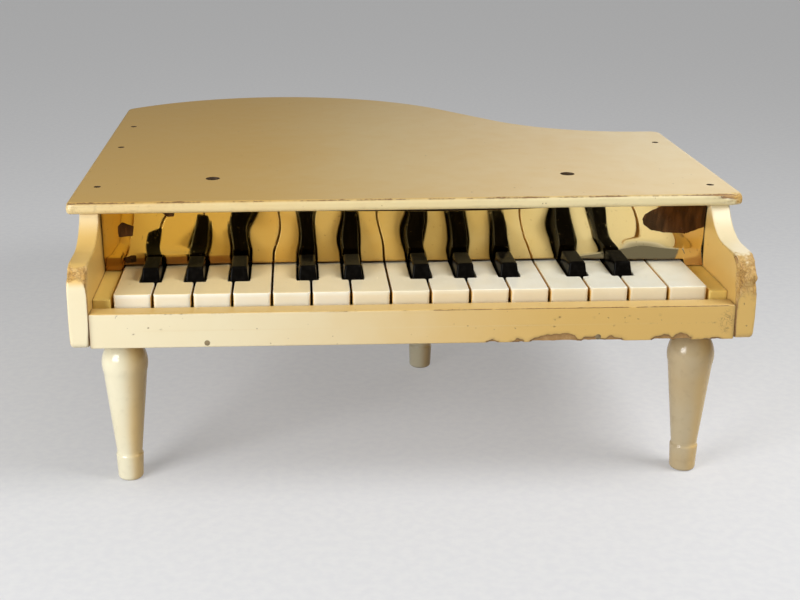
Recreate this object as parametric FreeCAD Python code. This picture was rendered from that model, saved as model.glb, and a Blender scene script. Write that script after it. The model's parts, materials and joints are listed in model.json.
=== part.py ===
import FreeCAD, Part
import math
import os

V = FreeCAD.Vector
os.makedirs("parts", exist_ok=True)

# A toy grand piano in millimetres. The keys face -Y, the bass end is at -X, +Z is up, the feet
# stand on Z = 0 and the middle of the outline is at X = 0, Y = 0.

# The case
depth = 435.0
leg_height = 97.5
case_height = 67.0
side_thick = 12.0
lid_thick = 7.5
lid_overhang = 8.0
lid_edge_radius = 2.5
rim_thick = 6.0
bottom_thick = 8.0
slip_thick = 12.0
slip_height = 21.5

# The keyboard: 15 white keys from F to F
key_pitch = 24.0
key_gap = 1.5
white_count = 15
key_show = 57.0
key_rise = 28.0
head_height = 9.5
head_length = 24.0
head_corner = 2.0
slip_gap = 5.0
block_gap = 1.0
block_width = 11.0
block_drop = 3.0

# The black keys stand off the lines between white keys, as on a full size keyboard
black_width = 12.0
black_top_width = 9.7
black_height = 8.0
black_slope = 2.6
black_clear = 0.8
black_end_gap = 4.0
three_group_offset = 3.4
two_group_offset = 2.1

# The action: each key rocks on the pivot rod and its own hammer strikes a tone rod
key_dip = 6.2
pivot_back = 17.0
pivot_drop = 6.5
pivot_radius = 2.0
pivot_clear = 0.05
lever_width = 8.0
lever_height = 11.0
lever_drop = 1.0
neck_under = 2.0
strike_arm = 96.0
hammer_length = 24.0
hammer_height = 14.5
hammer_nose = 3.0
stop_gap = 0.3
felt_thick = 2.0
let_off = 0.8

# The tone bar and its rods
bar_width = 20.0
bar_height = 18.0
bar_gap = 4.0
rod_radius = 1.5
rod_seat = 15.0
longest_rod = 196.0
post_width = 10.0
post_inset = 0.5

# The lid outline: one arc bulges at the back, a straight run leads into a hollow arc on the right
bulge_radius = 177.0
bulge_x = -87.0
run_length = 60.0
hollow_end = 15.0
right_length = 260.0
lid_set_back = 58.0
lid_corner = 8.0
front_corner = 3.0
least_corner = 1.0
touching = 0.0001

# The cheeks
arm_height = 50.0
nose_radius = 14.0
scoop_radius = 34.0
scoop_start = 32.0

# The mirror sheet and the board behind it: the sheet is fixed along its foot and leans to the keys
mirror_thick = 0.5
mirror_side_gap = 0.5
mirror_lean = 14.0
mirror_drop = 2.5
mirror_foot = 3.0
fallboard_thick = 6.0
fallboard_lift = 1.5

# Peg holes for a music desk, nails, screws and studs
peg_radius = 4.75
peg_left_x = -124.0
peg_right_x = 113.0
peg_back = 120.0
nail_radius = 0.8
nail_head_radius = 1.7
nail_head_thick = 0.8
nail_sink = 0.9
nail_length = 24.0
left_nail_start = 43.0
left_nail_end = 68.0
left_nail_share = 0.61
right_nail_start = 26.0
right_nail_end = 29.0
slip_nail_left = 69.5
slip_nail_right = 81.5
slip_nail_lift = 2.8
side_nail_start = 60.0
side_nail_end = 70.0
screw_radius = 2.0
screw_head_radius = 4.0
screw_head_thick = 2.4
screw_length = 22.0
stud_radius = 3.0
stud_in_leg = 18.0
stud_in_board = 6.0

# The legs
front_leg_x = 176.0
front_leg_back = 29.0
rear_leg_x = 25.0
rear_leg_back = 212.0
leg_neck_radius = 9.0
leg_shoulder_radius = 13.5
leg_ankle_radius = 7.9
shoulder_low_drop = 25.4
shoulder_mid_drop = 13.9
shoulder_top_drop = 6.0
cup_radius = 8.6
cup_low_radius = 8.0
cup_foot_radius = 6.2
cup_height = 17.5
cup_round = 2.4
cup_lip = 1.7
arc_middle = 0.4
arc_swell = 0.2

# The rails under the keys, and the blocks in the corners of the case
rail_width = 12.0
front_rail_back = 4.0
back_rail_arm = 62.0
bracket_thick = 4.0
bracket_depth = 10.0
bracket_cover = 3.0
glue_block_size = 10.0
glue_block_length = 30.0
glue_block_gap = 5.0
glue_block_end = 40.0

# Levels
case_bottom = leg_height
floor_top = case_bottom + bottom_thick
lid_bottom = case_bottom + case_height
lid_top = lid_bottom + lid_thick
key_top = case_bottom + key_rise
pivot_z = key_top - pivot_drop
lever_top = key_top - lever_drop
lever_bottom = lever_top - lever_height
hammer_top = lever_top + hammer_height

# Widths
keyboard_half = white_count * key_pitch / 2
inner_half = keyboard_half + block_gap + block_width
case_half = inner_half + side_thick
lid_half = case_half + lid_overhang

# Stations from the front to the back
front_y = -depth / 2
back_y = depth / 2
slip_back_y = front_y + slip_thick
key_front_y = slip_back_y + slip_gap
mirror_y = key_front_y + key_show
fallboard_y = mirror_y + mirror_thick
fallboard_back_y = fallboard_y + fallboard_thick
pivot_y = mirror_y + pivot_back
neck_end_y = fallboard_back_y + neck_under
strike_y = pivot_y + strike_arm
tail_end_y = strike_y + hammer_length / 2
bar_y = fallboard_back_y + bar_gap
bar_back_y = bar_y + bar_width

# The two arcs of the lid: the hollow one meets the right end squarely, and a straight run of the
# named length joins it to the bulge
lid_y = front_y + lid_set_back
lid_end_y = front_y + right_length
bulge_centre = V(bulge_x, back_y - bulge_radius, 0)
hollow_x = lid_half - hollow_end
hollow_side = hollow_x - bulge_x
hollow_step = lid_end_y - bulge_centre.y
hollow_square = hollow_side ** 2 + hollow_step ** 2 - bulge_radius ** 2 - run_length ** 2
hollow_radius = hollow_square / (2 * (bulge_radius - hollow_step))
hollow_centre = V(hollow_x, lid_end_y + hollow_radius, 0)

# Where the side boards end against the bent side
room_inset = lid_overhang + rim_thick
room_radius = bulge_radius - room_inset
left_end_y = bulge_centre.y + math.sqrt(room_radius ** 2 - (case_half + bulge_x) ** 2)
right_end_y = lid_end_y - room_inset

# How far a key turns, how high its hammer lifts and where that puts the tone rods
pivot_to_front = pivot_y - key_front_y
key_turn = math.asin(key_dip / pivot_to_front)
hammer_lift = strike_arm * math.sin(key_turn)
rod_z = hammer_top + hammer_lift + let_off + rod_radius
bar_bottom = rod_z - bar_height / 2


def box(x0, x1, y0, y1, z0, z1):
    return Part.makeBox(x1 - x0, y1 - y0, z1 - z0, V(x0, y0, z0))


def rod_along(axis, radius, start, length):
    return Part.makeCylinder(radius, length, start, axis)


def save(shape, name):
    shape.exportStep("parts/" + name + ".step")


def arc_about(centre, radius, first, last):
    """An arc from one direction angle to another about a centre in the plan."""
    middle = (first + last) / 2
    points = [
        centre + V(radius * math.cos(a), radius * math.sin(a), 0)
        for a in (first, middle, last)
    ]
    return Part.Arc(*points).toShape()


def plan_face(inset, half, start_y, corner, front_round):
    """The grand outline, drawn in from the lid's edge, as a face in the plan."""
    bulge = bulge_radius - inset
    hollow = hollow_radius + inset
    end_y = lid_end_y - inset
    across = hollow_centre - bulge_centre
    run = math.atan2(across.y, across.x) + math.atan2(run_length, bulge_radius + hollow_radius)
    left_x = corner - half
    left_y = bulge_centre.y + math.sqrt((bulge - corner) ** 2 - (left_x - bulge_x) ** 2)
    left_centre = V(left_x, left_y, 0)
    toward = left_centre - bulge_centre
    left_turn = math.atan2(toward.y, toward.x)
    right_centre = V(half - corner, end_y - corner, 0)
    front_left = V(front_round - half, start_y + front_round, 0)
    front_right = V(half - front_round, start_y + front_round, 0)
    quarter = math.pi / 2
    curves = [
        arc_about(front_left, front_round, -quarter, -math.pi),
        arc_about(left_centre, corner, math.pi, left_turn),
        arc_about(bulge_centre, bulge, left_turn, run),
        arc_about(hollow_centre, hollow, run - math.pi, -quarter),
        arc_about(right_centre, corner, quarter, 0),
        arc_about(front_right, front_round, 0, -quarter),
    ]
    edges = []
    for i, curve in enumerate(curves):
        following = curves[(i + 1) % len(curves)]
        edges.append(curve)
        leave = curve.valueAt(curve.LastParameter)
        meet = following.valueAt(following.FirstParameter)
        if leave.distanceToPoint(meet) > touching:
            edges.append(Part.makeLine(leave, meet))
    return Part.Face(Part.Wire(edges))


def prism(face, z0, z1):
    solid = face.extrude(V(0, 0, z1 - z0))
    solid.translate(V(0, 0, z0))
    return solid


def nail_down(x, y):
    """A lid nail with its head sunk under the surface."""
    top = lid_top - nail_sink
    head = rod_along(V(0, 0, -1), nail_head_radius, V(x, y, top), nail_head_thick)
    shank = rod_along(V(0, 0, -1), nail_radius, V(x, y, top), nail_length)
    return head.fuse(shank).removeSplitter()


def nail_in(start, inward):
    """A nail whose head lies flush with the face that it enters."""
    head = rod_along(inward, nail_head_radius, start, nail_head_thick)
    shank = rod_along(inward, nail_radius, start, nail_length)
    return head.fuse(shank).removeSplitter()


def between(first, last, share):
    return first + (last - first) * share


# Nails
nail_line = case_half - side_thick / 2
left_first = lid_y + left_nail_start
left_last = left_end_y - left_nail_end
lid_nails = [nail_down(-nail_line, between(left_first, left_last, s)) for s in (0, left_nail_share, 1)]
lid_nails += [nail_down(nail_line, y) for y in (lid_y + right_nail_start, right_end_y - right_nail_end)]
floor_line = case_bottom + bottom_thick / 2
slip_nail_xs = (slip_nail_left - inner_half, inner_half - slip_nail_right)
slip_nail_z = case_bottom + slip_nail_lift
slip_nails = [nail_in(V(x, front_y, slip_nail_z), V(0, 1, 0)) for x in slip_nail_xs]
side_nails = []
side_first = front_y + side_nail_start
for side, inward, end in ((-case_half, 1, left_end_y), (case_half, -1, right_end_y)):
    for share in (0, 0.5, 1):
        y = between(side_first, end - side_nail_end, share)
        side_nails.append(nail_in(V(side, y, floor_line), V(inward, 0, 0)))
save(Part.makeCompound(lid_nails), "lid_nails")
save(Part.makeCompound(slip_nails), "key_slip_nails")
save(Part.makeCompound(side_nails), "side_nails")

# Lid, with rounded edges, sunk nail holes and two peg holes
lid = prism(plan_face(0, lid_half, lid_y, lid_corner, front_corner), lid_bottom, lid_top)
flat_edges = [e for e in lid.Edges if e.BoundBox.ZLength < lid_edge_radius]
lid = lid.makeFillet(lid_edge_radius, flat_edges)
for x in (peg_left_x, peg_right_x):
    peg_start = V(x, front_y + peg_back, lid_bottom)
    lid = lid.cut(rod_along(V(0, 0, 1), peg_radius, peg_start, lid_thick))
for nail in lid_nails:
    low = nail.BoundBox
    hole_start = V(low.Center.x, low.Center.y, low.ZMax)
    recess = rod_along(V(0, 0, 1), nail_head_radius, hole_start, nail_sink)
    lid = lid.cut(nail).cut(recess)
save(lid, "lid")

# The room inside the bent side, and the case outline
room_face = plan_face(room_inset, case_half, front_y - side_thick, least_corner, least_corner)
case_face = plan_face(lid_overhang, case_half, front_y - side_thick, least_corner, least_corner)
room = prism(room_face, case_bottom, lid_bottom)
bent_side = prism(case_face, case_bottom, lid_bottom).cut(room)
save(bent_side, "bent_side")

# Sides: each board ends in a cheek with a round nose and a scoop up to the lid
arm_z = case_bottom + arm_height
nose_y = front_y + nose_radius
scoop_y = front_y + scoop_start
scoop_rise = lid_bottom - arm_z
scoop_run = math.sqrt(scoop_radius ** 2 - (scoop_radius - scoop_rise) ** 2)
half_rise = scoop_radius * math.sin(math.asin(scoop_run / scoop_radius) / 2)
half_drop = scoop_radius - math.sqrt(scoop_radius ** 2 - half_rise ** 2)
diagonal = nose_radius * math.sqrt(0.5)


def side_board(x0):
    nose_low = V(x0, front_y, arm_z - nose_radius)
    nose_mid = V(x0, nose_y - diagonal, arm_z - nose_radius + diagonal)
    nose_top = V(x0, nose_y, arm_z)
    scoop_low = V(x0, scoop_y, arm_z)
    scoop_mid = V(x0, scoop_y + half_rise, arm_z + half_drop)
    scoop_top = V(x0, scoop_y + scoop_run, lid_bottom)
    back_top = V(x0, back_y, lid_bottom)
    back_low = V(x0, back_y, case_bottom)
    front_low = V(x0, front_y, case_bottom)
    wire = Part.Wire([
        Part.makeLine(front_low, nose_low),
        Part.Arc(nose_low, nose_mid, nose_top).toShape(),
        Part.makeLine(nose_top, scoop_low),
        Part.Arc(scoop_low, scoop_mid, scoop_top).toShape(),
        Part.makeLine(scoop_top, back_top),
        Part.makeLine(back_top, back_low),
        Part.makeLine(back_low, front_low),
    ])
    board = Part.Face(wire).extrude(V(side_thick, 0, 0)).common(room)
    for nail in lid_nails + side_nails:
        board = board.cut(nail)
    return board


left_side = side_board(-case_half)
right_side = side_board(inner_half)

# Key slip and bottom board
key_slip = box(-inner_half, inner_half, front_y, slip_back_y, case_bottom, case_bottom + slip_height)
floor_box = box(-inner_half, inner_half, slip_back_y, back_y, case_bottom, floor_top)
bottom_board = floor_box.common(room)
for nail in slip_nails:
    key_slip = key_slip.cut(nail)
for nail in slip_nails + side_nails:
    bottom_board = bottom_board.cut(nail)
save(left_side, "left_side")
save(right_side, "right_side")
save(key_slip, "key_slip")

# Legs: a neck, a round shoulder, a straight taper and a cup foot
shoulder_low_z = leg_height - shoulder_low_drop
shoulder_mid_z = leg_height - shoulder_mid_drop
shoulder_top_z = leg_height - shoulder_top_drop
cup_rim_z = cup_height - cup_lip
cup_bulge = (cup_foot_radius + cup_low_radius) / 2 + cup_round * arc_swell
cup_rim_mid = (cup_radius + leg_ankle_radius) / 2 + (cup_radius - leg_ankle_radius) * arc_swell
leg_stud_start = leg_height - stud_in_leg
leg_points = [
    (0, 0),
    (cup_foot_radius, 0),
    (cup_bulge, cup_round * arc_middle),
    (cup_low_radius, cup_round),
    (cup_radius, cup_rim_z),
    (cup_rim_mid, cup_height - cup_lip * arc_middle),
    (leg_ankle_radius, cup_height),
    (leg_shoulder_radius, shoulder_low_z),
    (leg_shoulder_radius, shoulder_mid_z),
    (leg_neck_radius, shoulder_top_z),
    (leg_neck_radius, leg_height),
    (0, leg_height),
]


def turned_leg(x, y):
    p = [V(r, 0, z) for r, z in leg_points]
    wire = Part.Wire([
        Part.makeLine(p[0], p[1]),
        Part.Arc(p[1], p[2], p[3]).toShape(),
        Part.makeLine(p[3], p[4]),
        Part.Arc(p[4], p[5], p[6]).toShape(),
        Part.makeLine(p[6], p[7]),
        Part.Arc(p[7], p[8], p[9]).toShape(),
        Part.makeLine(p[9], p[10]),
        Part.makeLine(p[10], p[11]),
        Part.makeLine(p[11], p[0]),
    ])
    leg = Part.Face(wire).revolve(V(0, 0, 0), V(0, 0, 1), 360)
    leg.translate(V(x, y, 0))
    return leg


front_leg_y = front_y + front_leg_back
rear_leg_y = front_y + rear_leg_back
leg_places = [
    ("front_left_leg", -front_leg_x, front_leg_y),
    ("front_right_leg", front_leg_x, front_leg_y),
    ("rear_leg", rear_leg_x, rear_leg_y),
]
leg_studs = []
for name, x, y in leg_places:
    stud = rod_along(V(0, 0, 1), stud_radius, V(x, y, leg_stud_start), stud_in_leg + stud_in_board)
    leg_studs.append(stud)
    bottom_board = bottom_board.cut(stud)
    save(turned_leg(x, y).cut(stud), name)
save(bottom_board, "bottom_board")
save(Part.makeCompound(leg_studs), "leg_studs")

# Key blocks beside the end keys
block_top = key_top - block_drop
left_block = box(-inner_half, -inner_half + block_width, key_front_y, fallboard_back_y, floor_top, block_top)
right_block = box(inner_half - block_width, inner_half, key_front_y, fallboard_back_y, floor_top, block_top)
save(left_block, "left_key_block")
save(right_block, "right_key_block")

# Fallboard, and the gold mirror sheet that stands on its face and leans towards the keys at the top
fallboard_z = key_top + fallboard_lift
mirror_half = inner_half - mirror_side_gap
mirror_top = lid_bottom - mirror_drop
mirror_points = [
    V(-mirror_half, mirror_y, fallboard_z),
    V(-mirror_half, fallboard_y, fallboard_z),
    V(-mirror_half, fallboard_y, fallboard_z + mirror_foot),
    V(-mirror_half, fallboard_y - mirror_lean, mirror_top),
    V(-mirror_half, mirror_y - mirror_lean, mirror_top),
]
mirror_face = Part.Face(Part.makePolygon(mirror_points + [mirror_points[0]]))
save(mirror_face.extrude(V(2 * mirror_half, 0, 0)), "mirror_sheet")
save(box(-inner_half, inner_half, fallboard_y, fallboard_back_y, fallboard_z, lid_bottom), "fallboard")

# Rails and felts: the keys land on the front felt and rest on the back felt
front_rail_y = key_front_y + front_rail_back
landing_arm = pivot_y - front_rail_y
front_felt_top = key_top - head_height - landing_arm * math.sin(key_turn) - stop_gap
front_rail_top = front_felt_top - felt_thick
back_rail_y = pivot_y + back_rail_arm
back_felt_top = lever_bottom - stop_gap
back_rail_top = back_felt_top - felt_thick
rails = [
    ("front_rail", inner_half - block_width, front_rail_y, front_rail_top),
    ("back_rail", inner_half, back_rail_y, back_rail_top),
]
for name, half, y, top in rails:
    save(box(-half, half, y, y + rail_width, floor_top, top), name)
    save(box(-half, half, y, y + rail_width, top, top + felt_thick), name + "_felt")

# Which lines between white keys carry a black key, and how far each stands off its line
group_lines = {}
for octave in range(2):
    first = octave * 7
    group_lines[first + 1] = -three_group_offset
    group_lines[first + 2] = 0.0
    group_lines[first + 3] = three_group_offset
    group_lines[first + 5] = -two_group_offset
    group_lines[first + 6] = two_group_offset


def line_x(i):
    return -keyboard_half + i * key_pitch


def black_x(i):
    return line_x(i) + group_lines[i]


def neck_limits(k):
    """The left and right limits of a white key behind its head."""
    slot_half = black_width / 2 + black_clear
    left = line_x(k) + key_gap / 2
    right = line_x(k + 1) - key_gap / 2
    if k in group_lines:
        left = black_x(k) + slot_half
    if k + 1 in group_lines:
        right = black_x(k + 1) - slot_half
    return left, right


def lever(x, start_y):
    """The long arm of a key with its hammer, and the hole for the pivot rod."""
    x0 = x - lever_width / 2
    hammer_y = tail_end_y - hammer_length
    profile = [
        V(x0, start_y, lever_bottom),
        V(x0, tail_end_y, lever_bottom),
        V(x0, tail_end_y, hammer_top - hammer_nose),
        V(x0, tail_end_y - hammer_nose, hammer_top),
        V(x0, hammer_y + hammer_nose, hammer_top),
        V(x0, hammer_y, hammer_top - hammer_nose),
        V(x0, hammer_y, lever_top),
        V(x0, start_y, lever_top),
    ]
    return Part.Face(Part.makePolygon(profile + [profile[0]])).extrude(V(lever_width, 0, 0))


def bore_pivot(key, x):
    start = V(x - lever_width, pivot_y, pivot_z)
    return key.cut(rod_along(V(1, 0, 0), pivot_radius + pivot_clear, start, 2 * lever_width))


def white_key(k):
    left, right = neck_limits(k)
    x0 = line_x(k) + key_gap / 2
    x1 = line_x(k + 1) - key_gap / 2
    x = (left + right) / 2
    under = key_top - head_height
    head = box(x0, x1, key_front_y, key_front_y + head_length, under, key_top)
    corners = [
        e for e in head.Edges
        if e.BoundBox.ZLength > head_height / 2 and e.BoundBox.YMax < key_front_y + head_corner
    ]
    head = head.makeFillet(head_corner, corners)
    neck = box(left, right, key_front_y + head_length / 2, neck_end_y, under, key_top)
    key = head.fuse(neck).fuse(lever(x, key_front_y + head_length)).removeSplitter()
    return bore_pivot(key, x), x


def black_key(i):
    x = black_x(i)
    start = key_front_y + head_length + black_clear
    end = mirror_y - black_end_gap
    under = key_top - head_height
    body = box(x - black_width / 2, x + black_width / 2, start, neck_end_y, under, lever_top)

    def level(half, y0, z):
        points = [V(x - half, y0, z), V(x + half, y0, z), V(x + half, end, z), V(x - half, end, z)]
        return Part.makePolygon(points + [points[0]])

    low = level(black_width / 2, start, lever_top)
    high = level(black_top_width / 2, start + black_slope, key_top + black_height)
    raised = Part.makeLoft([low, high], True, True)
    key = body.fuse(raised).fuse(lever(x, start + head_length)).removeSplitter()
    return bore_pivot(key, x), x


# Keys from F4 up to F6, bass first
octave_notes = ["f", "g", "a", "b", "c", "d", "e"]
lanes = []
for k in range(white_count):
    octave = 4 + (k + 3) // 7
    note = "key_" + octave_notes[k % 7] + str(octave)
    if k in group_lines:
        sharp, x = black_key(k)
        below = 4 + (k + 2) // 7
        save(sharp, "key_" + octave_notes[(k - 1) % 7] + str(below) + "_sharp")
        lanes.append(x)
    natural, x = white_key(k)
    save(natural, note)
    lanes.append(x)

# Tone bar on two posts, with a rod for each key: half the length is two octaves higher
bar_half = inner_half - post_inset
post_inner = bar_half - post_width
bar_top = bar_bottom + bar_height
tone_bar = box(-bar_half, bar_half, bar_y, bar_back_y, bar_bottom, bar_top)
tone_rods = []
steps = len(lanes) - 1
for i, x in enumerate(lanes):
    reach = longest_rod * 2 ** (-i / steps)
    rod = rod_along(V(0, 1, 0), rod_radius, V(x, bar_back_y - rod_seat, rod_z), rod_seat + reach)
    tone_bar = tone_bar.cut(rod)
    tone_rods.append(rod)
save(Part.makeCompound(tone_rods), "tone_rods")

pivot_rod = rod_along(V(1, 0, 0), pivot_radius, V(-bar_half, pivot_y, pivot_z), 2 * bar_half)
bar_middle_y = bar_y + bar_width / 2
bar_screws = []
for name, x0 in (("left_bar_post", -bar_half), ("right_bar_post", post_inner)):
    top = V(x0 + post_width / 2, bar_middle_y, bar_top + screw_head_thick)
    head = rod_along(V(0, 0, -1), screw_head_radius, top, screw_head_thick)
    screw = head.fuse(rod_along(V(0, 0, -1), screw_radius, top, screw_head_thick + bar_height + screw_length / 2))
    screw = screw.removeSplitter()
    bar_screws.append(screw)
    tone_bar = tone_bar.cut(screw)
    post = box(x0, x0 + post_width, bar_y, bar_back_y, floor_top, bar_bottom)
    save(post.cut(pivot_rod).cut(screw), name)
save(tone_bar, "tone_bar")
save(Part.makeCompound(bar_screws), "tone_bar_screws")
save(pivot_rod, "pivot_rod")

# Balance rail, with brackets that hold the rod where two white keys meet
rail_top = lever_bottom - stop_gap - felt_thick
balance_y = pivot_y - bracket_depth / 2
save(box(-post_inner, post_inner, balance_y, balance_y + bracket_depth, floor_top, rail_top), "balance_rail")
brackets = []
for k in range(1, white_count):
    if k not in group_lines:
        x = (neck_limits(k - 1)[1] + neck_limits(k)[0]) / 2
        bracket = box(
            x - bracket_thick / 2, x + bracket_thick / 2,
            balance_y, balance_y + bracket_depth,
            rail_top, pivot_z + pivot_radius + bracket_cover,
        )
        brackets.append(bracket.cut(pivot_rod))
save(Part.makeCompound(brackets), "pivot_brackets")


# Glue blocks in the corners between the bottom board and the sides
def glue_block(corner_x, inward, y):
    points = [
        V(corner_x, y, floor_top),
        V(corner_x + inward * glue_block_size, y, floor_top),
        V(corner_x, y, floor_top + glue_block_size),
    ]
    face = Part.Face(Part.makePolygon(points + [points[0]]))
    return face.extrude(V(0, glue_block_length, 0))


block_first = back_rail_y + rail_width + glue_block_gap
glue_blocks = [
    glue_block(-inner_half, 1, block_first),
    glue_block(-inner_half, 1, left_end_y - glue_block_end - glue_block_length),
    glue_block(inner_half, -1, block_first),
]
save(Part.makeCompound(glue_blocks), "glue_blocks")

print("key turn in degrees", round(math.degrees(key_turn), 3))
print("pivot", round(pivot_y, 3), round(pivot_z, 3))
print("tone rods at", round(rod_z, 3), "bar top", round(bar_top, 3), "lid under", lid_bottom)
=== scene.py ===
# %% [markdown]
# # A toy grand piano, dressed in Blender
# The lesson starts from the imported CAD model of the piano: boards, keys, nails and rods, in metres and
# already in place. Those shapes are right, but sharp and bare. What is added here is what the hand and
# the eye know of the real thing: eased edges, chipped paint, yellowed keys and a wavy gold mirror.

# %% Load the frame
import json
import math

import bpy
import numpy as np
from mathutils import Matrix, Vector


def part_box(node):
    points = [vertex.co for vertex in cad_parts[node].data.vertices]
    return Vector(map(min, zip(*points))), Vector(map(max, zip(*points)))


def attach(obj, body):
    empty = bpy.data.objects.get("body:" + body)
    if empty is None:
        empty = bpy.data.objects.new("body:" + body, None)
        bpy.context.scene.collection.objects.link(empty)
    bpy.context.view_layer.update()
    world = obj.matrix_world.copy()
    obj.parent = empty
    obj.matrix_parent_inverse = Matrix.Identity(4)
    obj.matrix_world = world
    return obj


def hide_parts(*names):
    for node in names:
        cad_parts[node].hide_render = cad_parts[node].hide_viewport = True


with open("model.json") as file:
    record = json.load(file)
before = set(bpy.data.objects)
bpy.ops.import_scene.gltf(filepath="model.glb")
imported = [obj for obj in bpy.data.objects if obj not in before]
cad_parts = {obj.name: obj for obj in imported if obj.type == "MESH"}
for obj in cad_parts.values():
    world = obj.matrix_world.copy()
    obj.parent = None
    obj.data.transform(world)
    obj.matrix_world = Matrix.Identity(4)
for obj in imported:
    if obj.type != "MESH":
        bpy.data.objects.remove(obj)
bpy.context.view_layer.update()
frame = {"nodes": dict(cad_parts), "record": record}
nodes = frame["nodes"]
bodies = frame["record"]["behaviour"]["bodies"]

# %% [markdown]
# ## Chance, but the same chance every time
# Old paint doesn't chip evenly, so the shapes need something irregular. A lattice of random numbers,
# read smoothly between its points, gives soft hills of any size. The generator is seeded, so each run
# of the script makes exactly the same chips.

# %% Smooth steps and soft noise
mm = 0.001
lattice = 32


def smooth(low, high, value):
    """0 up to low, 1 from high on, and 3 t^2 - 2 t^3 between them."""
    t = np.clip((value - low) / (high - low), 0, 1)
    return t * t * (3 - 2 * t)


def soft_noise(points, size, seed):
    """Soft hills from 0 to 1: each point mixes the random numbers at the eight lattice points round it,
    by shares that follow 3 t^2 - 2 t^3 along each axis."""
    table = np.random.default_rng(seed).random((lattice, lattice, lattice))
    cell = np.floor(points / size).astype(int)
    share = smooth(0, 1, points / size - cell)
    total = np.zeros(points.shape[:-1])
    for corner in np.ndindex(2, 2, 2):
        weight = np.where(corner, share, 1 - share).prod(-1)
        i, j, k = np.moveaxis((cell + corner) % lattice, -1, 0)
        total += weight * table[i, j, k]
    return total


def patch(points, centre, size):
    """A soft patch that is 1 at its centre and falls as exp(-(distance / size)^2) along each axis."""
    return np.exp(-(((points - np.array(centre)) / np.array(size)) ** 2).sum(-1))


def hump(values, middle, reach):
    """1 at the middle, falling as exp(-((value - middle) / reach)^2) on both sides."""
    return np.exp(-((values - middle) / reach) ** 2)


def fade(distance, reach):
    """1 at no distance, falling as exp(-distance / reach)."""
    return np.exp(-distance / reach)


# %% [markdown]
# ## A skin over rings
# Nearly every piece of the piano can be seen as a stack of closed rings: a board is its outline, drawn
# in and out again, a leg is circles, a rim is a profile carried along a bend. One function lays faces
# between the rings as whole arrays and closes both ends. The sign of the volume is then checked, so that
# the faces always point outwards. Numbers painted on the points, such as wear, ride along as attributes.

# %% Rings to a piece


def skin_faces(rings, closed_round):
    """Four-sided faces between ring r and ring r + 1. The ends close on a middle point each, or on each
    other when the rings run all the way round, as through a bore."""
    rows, count = rings.shape[:2]
    here = np.arange(rows * count).reshape(rows, count)
    beside = np.roll(here, -1, 1)
    last = rows if closed_round else rows - 1
    above = np.roll(here, -1, 0)
    beside_above = np.roll(above, -1, 1)
    quads = np.stack([here, beside, beside_above, above], -1)[:last].reshape(-1, 4)
    points = rings.reshape(-1, 3)
    if closed_round:
        return points, quads.tolist()
    poles = [rings[0].mean(0), rings[-1].mean(0)]
    low = np.full(count, rows * count)
    start = np.column_stack([low, beside[0], here[0]])
    end = np.column_stack([low + 1, here[-1], beside[-1]])
    return np.vstack([points, poles]), quads.tolist() + start.tolist() + end.tolist()


def signed_volume(points, faces):
    """The sum of the tents from the middle over each face, positive when the faces point outwards."""
    corners = points[np.array([face[:3] for face in faces])] - points.mean(0)
    return np.einsum("ij,ij->i", corners[:, 0], np.cross(corners[:, 1], corners[:, 2])).sum()


def merged(skins):
    """Several skins, each (points, faces), as one."""
    points, faces = np.zeros((0, 3)), []
    for skin_points, skin in skins:
        faces += [[len(points) + i for i in face] for face in skin]
        points = np.vstack([points, skin_points])
    return points, faces


def new_mesh(name, points, faces, finish):
    """A mesh of these points and faces, all in one finish."""
    mesh = bpy.data.meshes.new(name)
    mesh.from_pydata(points.tolist(), [], faces)
    mesh.materials.append(finish)
    return mesh


def linked(name, data):
    """An object with this data, linked into the scene."""
    made = bpy.data.objects.new(name, data)
    bpy.context.scene.collection.objects.link(made)
    return made


def add_piece(name, shells, finish, body, replaced):
    """One object from shells, each (rings, closed_round, {mark: numbers on the rings})."""
    skins, marks = [], {}
    for rings, closed_round, shell_marks in shells:
        points, faces = skin_faces(rings, closed_round)
        if signed_volume(points, faces) < 0:
            faces = [face[::-1] for face in faces]
        skins.append((points, faces))
        for mark, values in shell_marks.items():
            ends = [] if closed_round else [values[0].mean(), values[-1].mean()]
            marks.setdefault(mark, []).append(np.concatenate([values.ravel(), ends]))
    mesh = new_mesh(name, *merged(skins), finish)
    mesh.shade_smooth()
    for mark, values in marks.items():
        layer = mesh.attributes.new(mark, "FLOAT", "POINT")
        layer.data.foreach_set("value", np.concatenate(values).astype(np.float32))
    piece = linked(name, mesh)
    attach(piece, body)
    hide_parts(*replaced)
    print(name, len(mesh.vertices), "points,", len(mesh.polygons), "faces")
    return piece


def case_piece(name, node, rings, marks, finish):
    """A piece of the case, from one stack of rings, in the place of a node."""
    return add_piece(name, [(rings, False, marks)], finish, "case", [node])


# %% [markdown]
# ## Writing a finish as sums
# A material is a net of nodes, and a long net is hard to read. Here one small class wraps an output
# socket, so that `1 - mask` or `a * 0.3 + b` add the Math nodes themselves. Every other node comes from
# the one method `node`, which sets the node's settings first and then fills or links its sockets.

# %% The wire class


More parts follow.
